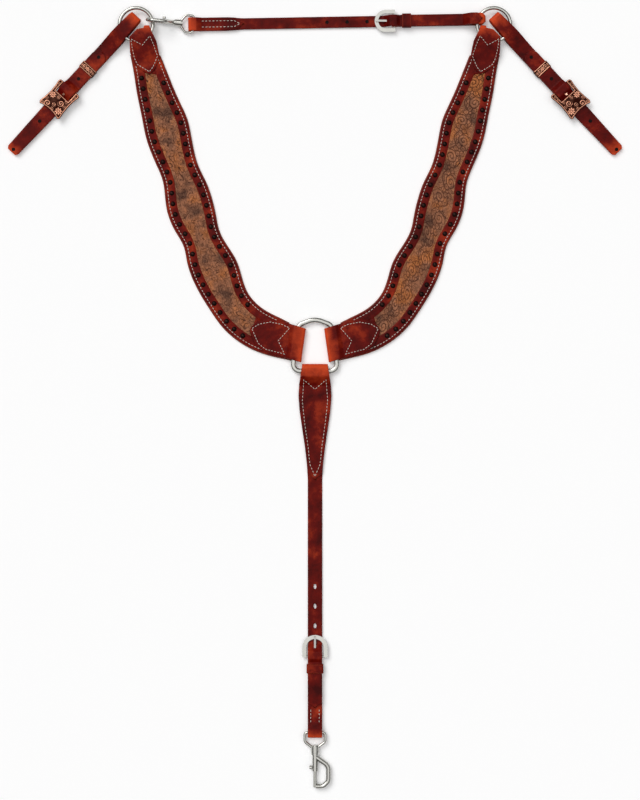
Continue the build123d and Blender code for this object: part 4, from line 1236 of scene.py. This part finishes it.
@dataclass
class NeckStrap:
    """Strap across the top, from the snap at the left ring to the buckle and the fold in the right ring.

    The heel bar, the length, the tips, the eye and the holes are counted from the fold in the snap's eye. The
    lay counts from the heel bar, back towards the snap.
    """

    eye_fold: tuple = (-195.0, 573.8)
    tilt: float = radians(0.97)
    heel: float = 316.8
    length: float = 457.0
    tip: float = 451.5
    tab_tip: float = 85.7
    eye_at: float = 7.7
    eye_low: float = 2.202
    eye_high: float = 8.582
    buckle_long: float = 30.0
    wide: float = 17.5
    end_wide: float = 20.5
    rise: float = 16.0
    holes: tuple = (213.5, 244.3, 275.1)

    def __post_init__(self) -> None:
        """Work out the lay, whose run is from the buckle back to the snap."""
        x, y = self.eye_fold
        start = (x + self.heel * cos(self.tilt), y + self.heel * sin(self.tilt))
        self.lay = Lay(start, (-cos(self.tilt), -sin(self.tilt)))
        self.fold = self.heel - self.length + TAB_T / 2

    def strap(self) -> Skin:
        """Snap end, strap and billet in one."""
        low, high, heel = self.eye_low, self.eye_high, self.heel
        near, end, inner = heel - self.tab_tip, heel - TAB_T / 2, low + TAB_T + AIR
        over = RING_TOP + 2 * AIR + 1.5 * TAB_T
        path = bent([(near, inner), (heel - self.eye_at - 14, inner), (heel - self.eye_at - 5, high),
                     (end, high), (end, low), (near - 20, low), (self.buckle_long + 6, STRAP_LOW),
                     (self.rise, STRAP_LOW), *OVER_HEEL, (self.fold + 34, STRAP_HIGH), (self.fold + 22, over),
                     (heel - self.tip, over)], [4, 4, 3, 3, 20, 20, 5, 3, 3, 3, 4, 4], 2.0)
        half, broad = self.wide / 2, self.end_wide / 2
        limits = shaped([(-200, half), (near, half), (near + 25, broad), (heel + 2, broad)])
        limits = tipped(limits, heel - self.tip, 7.5, lambda path: path[:, 0] < -100)
        limits = tipped(limits, near, 12.0, lambda path: (path[:, 0] > near - 1) & (path[:, 1] > low + 1.2))
        return ribbon(self.lay, path, TAB_T, limits)

    def top(self, at: Array) -> Array:
        """Top of the strap's long stretch, which falls a little from the buckle to the snap's fold."""
        ends = [self.buckle_long + 6, self.heel - self.tab_tip - 20]
        return np.interp(at, ends, [STRAP_LOW, self.eye_low]) + TAB_T / 2

    def ring_strap(self) -> Skin:
        """Short strap that holds the buckle and folds in the right ring."""
        high = RING_TOP + AIR + TAB_T / 2
        path = bent([(-60, STRAP_MID), *ROUND_HEEL, (self.fold, STRAP_LOW), (self.fold, high),
                     (self.fold + 19, high), (self.fold + 31, STRAP_MID), (-60.6, STRAP_MID)],
                    [3, 2.4, 2.7, 2.7, 5, 5, 4, 4], 1.5)
        half = self.wide / 2
        limits = shaped([(self.fold - 2, half - 5.5), (self.fold + 5, half), (10, half)])
        return ribbon(self.lay, path, TAB_T, limits)

    def seams(self) -> Skin:
        """Two rows that meet in a point at the snap's end."""
        near, far, reach = self.heel - self.tab_tip + 6, self.heel - 14, self.end_wide / 2 - 5.6
        height = self.eye_low + 1.5 * TAB_T + AIR
        rows = [sewn(seam_on(self.lay, [(near, 0.0), (near + 9, turn * reach), (far, turn * reach)], height))
                for turn in (1, -1)]
        return rows[0] + rows[1]

    def build(self, kit: Wardrobe) -> None:
        """Make both straps with their seam and holes, and the keeper."""
        strap = self.strap().piece("neck_strap_leather", kit.leather, Finish.SADDLE)
        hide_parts("neck_strap")
        ring_strap = self.ring_strap().piece("neck_ring_strap_leather", kit.leather, Finish.SADDLE)
        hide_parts("neck_ring_strap")
        seams = self.seams().piece("neck_strap_seams", kit.thread, Finish.SADDLE)
        holes = punched(self.lay, [(self.heel - far, 0.0) for far in self.holes], self.top)
        holes = holes.piece("neck_strap_holes", kit.hole_shade, Finish.SADDLE)
        for piece in (strap, ring_strap, seams, holes):
            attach(piece, "neck_strap")
        leather_keeper(self.lay, self.wide / 2, "neck_keeper", kit)


@dataclass
class TieDown:
    """Strap from the middle ring to the bolt snap, with its wide sewn head and its buckle.

    Values that end in _y and the slots are places on the Y axis, and the sides and the head's seam are points
    (across, Y). The lay counts from the heel bar upwards, and so does the climb over the middle ring.
    """

    heel_y: float = -397.4
    fold_y: float = 52.0
    tip_y: float = -476.0
    tab_y: float = -126.0
    snap_fold_y: float = -522.4
    eye_y: float = -514.3
    bar_y: float = 41.0
    wide: float = 22.2
    buckle_long: float = 32.8
    rise: float = 19.5
    sides: tuple = ((19.5, 52), (24.5, 20), (25.5, 2), (23.5, -22), (20, -46), (15.5, -76), (12.4, -104),
                    (11.1, -126))
    head_seam: tuple = ((17, 27.5), (19.5, -5), (15.6, -41), (10.5, -76), (8, -102), (0, -121))
    notch_y: float = 13.0
    slots: tuple = (-290.4, -320.7, -350.9)
    slot_long: float = 8.0
    slot_wide: float = 4.4
    climb: tuple = (413.5, 428.0)

    def __post_init__(self) -> None:
        """Work out the lay, whose run is up from the heel bar."""
        self.lay = Lay((0.0, self.heel_y), (0.0, 1.0))

    def strap(self) -> Skin:
        """Head, strap and billet in one."""
        head = MIDDLE_RING_TOP + 1.3 + AIR + TAB_T / 2 + 0.2
        y0, fold = self.heel_y, self.fold_y - self.heel_y - TAB_T / 2
        bar, tab, inner = self.bar_y - y0, self.tab_y - y0, FLOOR_LOW + TAB_T + AIR
        path = bent([(tab, inner), (bar - 22, inner), (bar - 8, head), (fold, head), (fold, FLOOR_LOW),
                     (tab - 20, FLOOR_LOW), (self.buckle_long + 6, STRAP_LOW), (self.rise, STRAP_LOW),
                     *OVER_HEEL, (self.tip_y - y0, STRAP_HIGH)], [6, 6, 5.1, 5.1, 20, 20, 5, 3, 3, 3], 2.0)
        half = self.wide / 2
        limits = shaped([(-200, half), (tab, half)] + [(y - y0, x) for x, y in self.sides[-2::-1]])
        limits = tipped(limits, self.tip_y - y0, 8.3, lambda path: path[:, 0] < -60)
        limits = tipped(limits, tab, 11.0, lambda path: (path[:, 0] > tab - 1) & (path[:, 1] > 2.6))
        return ribbon(self.lay, path, TAB_T, limits)

    def snap_strap(self) -> Skin:
        """Short strap round the heel bar and the snap's eye."""
        fold, eye = self.snap_fold_y - self.heel_y + TAB_T / 2, self.eye_y - self.heel_y
        high = LIFT + TAB_T + 2 * AIR + 4.5 + TAB_T / 2
        path = bent([(-40, STRAP_MID), *ROUND_HEEL, (fold, STRAP_LOW), (fold, high), (eye + 6, high),
                     (eye + 16, STRAP_MID), (-40.6, STRAP_MID)], [3, 2.4, 2.7, 2.7, 2.9, 2.9, 4, 4], 1.5)
        half = self.wide / 2
        return ribbon(self.lay, path, TAB_T, shaped([(-200, half), (10, half)]))

    def head_top(self, at: Array) -> Array:
        """Top of the head, which climbs over the middle ring's foot."""
        return np.interp(at, self.climb, [FLOOR_LOW + 1.5 * TAB_T + AIR + 0.05, MIDDLE_RING_TOP + 4.3])

    def seams(self) -> Skin:
        """Outline of the head, notched above and pointed below, and two rows on the snap's strap."""
        y0, rows = self.heel_y, []
        for turn in (1, -1):
            head = [(self.notch_y - y0, 0.0)] + [(y - y0, turn * x) for x, y in self.head_seam]
            low = [(-478 - y0, 6.5 * turn), (-500 - y0, 6.5 * turn)]
            rows.append(sewn(seam_on(self.lay, head, self.head_top)))
            rows.append(sewn(seam_on(self.lay, low, STRAP_MID + TAB_T / 2)))
        return sum(rows[1:], rows[0])

    def build(self, kit: Wardrobe) -> None:
        """Make the straps, the keeper and the seams."""
        strap = self.strap().piece("tie_down_strap_leather", kit.leather, Finish.SADDLE)
        slotted(strap, self.lay, [y - self.heel_y for y in self.slots], self.slot_long, self.slot_wide)
        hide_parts("tie_down_strap")
        snap_strap = self.snap_strap().piece("tie_down_snap_strap_leather", kit.leather, Finish.SADDLE)
        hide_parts("tie_down_snap_strap")
        seams = self.seams().piece("tie_down_seams", kit.thread, Finish.SADDLE)
        for piece in (strap, snap_strap, seams):
            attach(piece, "tie_down")
        leather_keeper(self.lay, self.wide / 2, "tie_down_keeper", kit)


@dataclass
class Tug:
    """Strap from the upper ring to the saddle, with its copper buckle and keeper; the left one, mirrored.

    Every place along it is counted from the fold in the ring.
    """

    angle: float = radians(227.1)
    length: float = 284.0
    flex: float = 66.0
    flex_reach: float = 5.0
    flex_z: float = 4.05
    heel: float = 153.0
    tip: float = 76.5
    keeper_at: float = 105.0
    keeper_long: float = 12.0
    keeper_t: float = 1.05
    plate_near: float = 168.0
    plate_far: float = 199.5
    half: float = 12.0
    end_half: float = 10.2
    plate_low: float = 9.2
    plate_t: float = 3.2
    buckle_half: float = 21.5
    waist: float = 18.3
    fold_at: tuple = (-273.5, 586.0)
    billet_holes: tuple = (86.1, 131.5)
    strap_holes: tuple = (219.7, 279.0)
    blooms: tuple = ((176, -11.6, 5.6), (189.2, 12.0, 6.2))
    scrolls: tuple = ((191, -9, 5.2, 1), (178, 6.5, 5.0, -1), (186, 0.2, 3.4, 1), (193, 1.2, 3.0, -1),
                      (173, -1.8, 3.0, 1), (157, 15.6, 2.5, 1), (163.4, 15.4, 2.4, -1), (157, -15.6, 2.5, -1),
                      (163.4, -15.4, 2.4, 1), (194.6, -16.6, 2.6, -1), (178.5, 14.6, 2.6, 1),
                      (171, 12.0, 2.6, 1), (185.2, -15, 2.8, 1))

    def __post_init__(self) -> None:
        """Work out the lay and the heights of the strap's layers."""
        self.lay = Lay(self.fold_at, (cos(self.angle), sin(self.angle)))
        self.low = LIFT + TUG_T / 2
        self.mid = self.low + TUG_T + AIR
        self.high = self.mid + TUG_T + AIR
        self.wrap = BAR_R + AIR + TUG_T / 2
        self.wrap_high = self.mid + 2 * self.wrap
        self.over = self.wrap_high + TUG_T + AIR
        self.loop_high = RING_TOP + AIR + TUG_T / 2

    def strap(self) -> Skin:
        """The whole strap, from its end round the heel bar to its billet."""
        h, far = self.heel, self.length - TUG_T / 2
        path = bent([(h - 2, self.wrap_high), (h + self.wrap, self.wrap_high), (h + self.wrap, self.mid),
                     (self.flex + 6, self.mid), (self.flex - 34, self.loop_high), (TUG_T / 2, self.loop_high),
                     (TUG_T / 2, self.low), (far, self.low), (far, self.mid), (self.plate_far + 1, self.mid),
                     (self.plate_near - 0.5, self.mid + 2.4), (h + 7.5, self.over), (h - 2.5, self.over),
                     (h - 10, self.high), (self.tip, self.high)],
                    [2.65, 2.65, 90, 60, 5, 5, 1.14, 1.14, 20, 5, 3, 3, 4], 1.8)
        limits = shaped([(-1, self.half - 2.8), (45, self.half), (200, self.half),
                         (self.length - 4, self.end_half), (self.length + 1, self.end_half - 4)])
        limits = tipped(limits, self.tip, self.half,
                        lambda path: (path[:, 1] > self.high - 0.6) & (path[:, 0] > 70), 0.5)
        return ribbon(self.lay, path, TUG_T, limits)

    def plate(self) -> Skin:
        """Waisted buckle plate with its opening.

        The grid's own edges are the plate's outline: two concave sides and a shallow concave end. Height is
        the plate's top, less a round-over that is a quarter circle of the distance to the nearest edge, plus
        flowers and scrolls in a sunk panel. Each corner is rounded by a quarter circle taken off the side.
        The underside is level, and faces over the opening are left out.
        """
        rows, columns = 141, 121
        a, b = np.meshgrid(np.linspace(0, 1, rows), np.linspace(-1, 1, columns), indexing="ij")
        far = self.plate_far - 3.5 * (1 - b**2)
        s = (self.heel - 3) + a * (far - self.heel + 3)
        side = np.interp(s, [150, 161, 173, 187, 199.5],
                         [self.buckle_half, self.waist + 1.0, self.waist, self.waist + 1.0, self.buckle_half])
        into = np.clip(1 - np.stack([self.plate_far - s, s - self.heel + 3]) / 6.0, 0, 1)
        side = side - 5.0 * (1 - np.sqrt(1 - into**2)).sum(0)
        y = b * side
        open_y, open_s = self.half + 0.7, self.plate_near
        gap = np.maximum(np.abs(y) - open_y, s - open_s)
        edge = np.minimum.reduce([side - np.abs(y), s - self.heel + 3, far - s, np.maximum(gap, 0)])
        over = 0.9 * (1 - np.sqrt(np.clip(1 - (1 - np.clip(edge / 1.4, 0, 1)) ** 2, 0, 1)))
        panel = np.clip((edge - 2.0) * 2, 0, 1)
        relief = raised_work(s, y, self.blooms, self.scrolls)
        line = np.clip((edge - 0.7) * 3, 0, 1) * np.clip((1.9 - edge) * 3, 0, 1)
        carved = np.where(panel > 0, relief * 0.7 - 0.25 * panel, 0.25)
        z = self.plate_low + self.plate_t - 0.6 - over + carved
        kept = gap > -0.2
        top = grid_faces(rows, columns)
        top = top[kept.ravel()[top].all(1)]
        count = rows * columns
        pairs = np.concatenate([top[:, [0, 1]], top[:, [1, 2]], top[:, [2, 3]], top[:, [3, 0]]])
        _, first, times = np.unique(np.sort(pairs, 1), axis=0, return_index=True, return_counts=True)
        rim = pairs[first[times == 1]]
        walls = np.stack([rim[:, 1], rim[:, 0], rim[:, 0] + count, rim[:, 1] + count], 1)
        faces = np.concatenate([top, top[:, ::-1] + count, walls])
        flat = self.lay.place(s, y, z).reshape(-1, 3)
        under = self.lay.place(s, y, np.full_like(z, self.plate_low + 0.02)).reshape(-1, 3)
        used, where = np.unique(faces, return_inverse=True)
        mark = np.concatenate([np.where(panel > 0, relief, line).ravel(), np.full(count, 0.3)])
        return Skin(np.concatenate([flat, under])[used], where.reshape(-1, 4), {"relief": mark[used]})

    def keeper(self) -> Skin:
        """Copper keeper with flowers on its top."""
        low, high, half = LIFT - KEEPER_AIR, self.high + TUG_T / 2 + KEEPER_AIR, self.half + KEEPER_SIDE
        middle = half + (high - low) / 2
        work = [(0, 6.0, 3.6, 1), (0, -6.0, 3.6, -1), (0, 10.6, 2.2, -1), (0, -10.6, 2.2, 1)]

        def relief(girth: Array, s: Array) -> Array:
            """A flower between scrolls, inside a raised line along both edges."""
            line = ((np.abs(s) > 4.2) & (np.abs(s) < 5.1)).astype(float)
            return np.maximum(raised_work(s, girth - middle, [(0, 0, 3.4)], work), line)

        return band(self.lay, self.keeper_at, self.keeper_long, half, low, high, self.keeper_t, relief)

    def build(self, kit: Wardrobe) -> None:
        """Make both tugs, with their holes, buckle plates and keepers."""
        reach = self.flex + np.array([-self.flex_reach, self.flex_reach])
        place = self.lay.place(reach, np.zeros(2), np.full(2, self.flex_z)) * MM
        straps = twins(self.strap(), "tug_leather", kit.leather, Finish.SADDLE)
        holes = punched(self.lay, [(s, 0.0) for s in self.billet_holes], self.high + TUG_T / 2)
        holes = holes + punched(self.lay, [(s, 0.0) for s in self.strap_holes], self.mid + TUG_T / 2)
        for side, piece in zip(SIDES, twins(holes, "tug_holes", kit.hole_shade, Finish.SADDLE)):
            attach(piece, f"tug_{side}")
        plates = twins(self.plate(), "tug_plate", kit.copper, Finish.COPPER)
        keepers = twins(self.keeper(), "tug_band", kit.copper, Finish.COPPER)
        for side, turn, strap, plate, keeper in zip(SIDES, (1, -1), straps, plates, keepers):
            ends = place * np.array([turn, 1, 1])
            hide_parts(f"tug_loop_{side}", f"tug_strap_{side}")
            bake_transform(strap)
            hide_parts(f"tug_buckle_{side}")
            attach(plate, f"tug_{side}")
            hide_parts(f"tug_keeper_{side}")
            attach(keeper, f"tug_keeper_{side}")
            for node in (f"tug_heel_bar_{side}", f"tug_tongue_{side}"):
                kit.dress(node, kit.rubbed_copper)


@dataclass
class Studio:
    """Camera, sun, sky and floor, in metres and degrees."""

    aim: tuple = (0.0077, -0.0035)
    seen_height: float = 1.232
    lens: float = 85.0
    sensor: float = 36.0
    sun_power: float = 1.5
    sun_angle: float = 35.0
    sun_lean: tuple = (-32.0, -28.0)
    sky_power: float = 1.00
    sky_tones: tuple = ((0.0, 0.08), (0.45, 0.18), (0.75, 1.0), (1.0, 1.5))
    sky_fall: float = 0.45
    floor_tone: float = 0.96
    floor_glow: float = 0.12
    floor_reach: float = 6.0
    floor_z: float = -0.0003

    def camera(self) -> None:
        """Camera that looks straight down."""
        data = bpy.data.cameras.new("camera")
        data.lens, data.sensor_width = self.lens, self.sensor
        made = bpy.data.objects.new("camera", data)
        made.location = (*self.aim, self.seen_height * self.lens / self.sensor)
        bpy.context.scene.collection.objects.link(made)
        bpy.context.scene.camera = made

    def light(self) -> None:
        """A soft sun from the upper left, and a sky pale overhead and dark low at the front and back."""
        data = bpy.data.lights.new("sun", "SUN")
        data.energy, data.angle = self.sun_power, radians(self.sun_angle)
        sun = bpy.data.objects.new("sun", data)
        sun.rotation_euler = (*(radians(lean) for lean in self.sun_lean), 0)
        bpy.context.scene.collection.objects.link(sun)
        world = bpy.data.worlds.new("sky")
        world.use_nodes = True
        tree = world.node_tree
        sky = tree.nodes["Background"]
        sky.inputs["Strength"].default_value = self.sky_power
        facing, split = tree.nodes.new("ShaderNodeTexCoord"), tree.nodes.new("ShaderNodeSeparateXYZ")
        ramp = tree.nodes.new("ShaderNodeValToRGB")
        sideways = tree.nodes.new("ShaderNodeMath")
        sideways.operation = "ABSOLUTE"
        height = tree.nodes.new("ShaderNodeMath")
        height.operation = "MULTIPLY_ADD"
        height.inputs[1].default_value = -self.sky_fall
        while len(ramp.color_ramp.elements) < len(self.sky_tones):
            ramp.color_ramp.elements.new(0.5)
        for element, (place, tone) in zip(ramp.color_ramp.elements, self.sky_tones):
            element.position, element.color = place, (tone, tone, tone, 1.0)
        tree.links.new(facing.outputs["Generated"], split.inputs[0])
        tree.links.new(split.outputs["Y"], sideways.inputs[0])
        tree.links.new(sideways.outputs[0], height.inputs[0])
        tree.links.new(split.outputs["Z"], height.inputs[2])
        tree.links.new(height.outputs[0], ramp.inputs[0])
        tree.links.new(ramp.outputs[0], sky.inputs["Color"])
        bpy.context.scene.world = world

    def floor(self) -> None:
        """A plain pale floor just under the leather."""
        shop = Shop("floor")
        tone = (self.floor_tone,) * 3
        rays = shop.node("ShaderNodeLightPath")
        seen = rays.out("Is Camera Ray") + rays.out("Is Glossy Ray") + rays.out("Is Transmission Ray")
        glow = shop.mix(seen.clamp(), (0.0, 0.0, 0.0), (self.floor_glow,) * 3)
        material = shop.surface(Base_Color=tone, Roughness=0.9, Emission_Color=glow, Emission_Strength=1.0)
        mesh = bpy.data.meshes.new("floor")
        corners = [(x * self.floor_reach, y * self.floor_reach, self.floor_z)
                   for x, y in ((-1, -1), (1, -1), (1, 1), (-1, 1))]
        mesh.from_pydata(corners, [], [(0, 1, 2, 3)])
        mesh.materials.append(material)
        made = bpy.data.objects.new("floor", mesh)
        bpy.context.scene.collection.objects.link(made)

    def build(self) -> None:
        """Set up everything that isn't the object."""
        self.camera()
        self.light()
        self.floor()
        bpy.context.scene.view_settings.view_transform = "Standard"


def dress_metal(kit: Wardrobe) -> None:
    """Give the metal CAD nodes their finishes."""
    nickel = ["ring_left", "ring_right", "tie_down_buckle", "tie_down_tongue", "neck_buckle", "neck_tongue"]
    nickel += [f"{snap}_snap_{part}" for snap in ("tie_down", "neck") for part in ("eye", "body", "bolt")]
    for node in nickel:
        kit.dress(node, kit.nickel)
    for node in ("tie_down_snap_spring", "neck_snap_spring"):
        kit.dress(node, kit.steel)


def main() -> None:
    """Build the studio, then the breastplate's sub-assemblies in order."""
    logging.basicConfig(level=logging.INFO, format="%(name)s: %(message)s")
    Studio().build()
    kit = Wardrobe.stocked()
    for assembly in (Collar(), Tabs(), NeckStrap(), TieDown(), Tug()):
        assembly.build(kit)
        LOG.info("%s is done", type(assembly).__name__)
    dress_metal(kit)


if __name__ == "__main__":
    main()
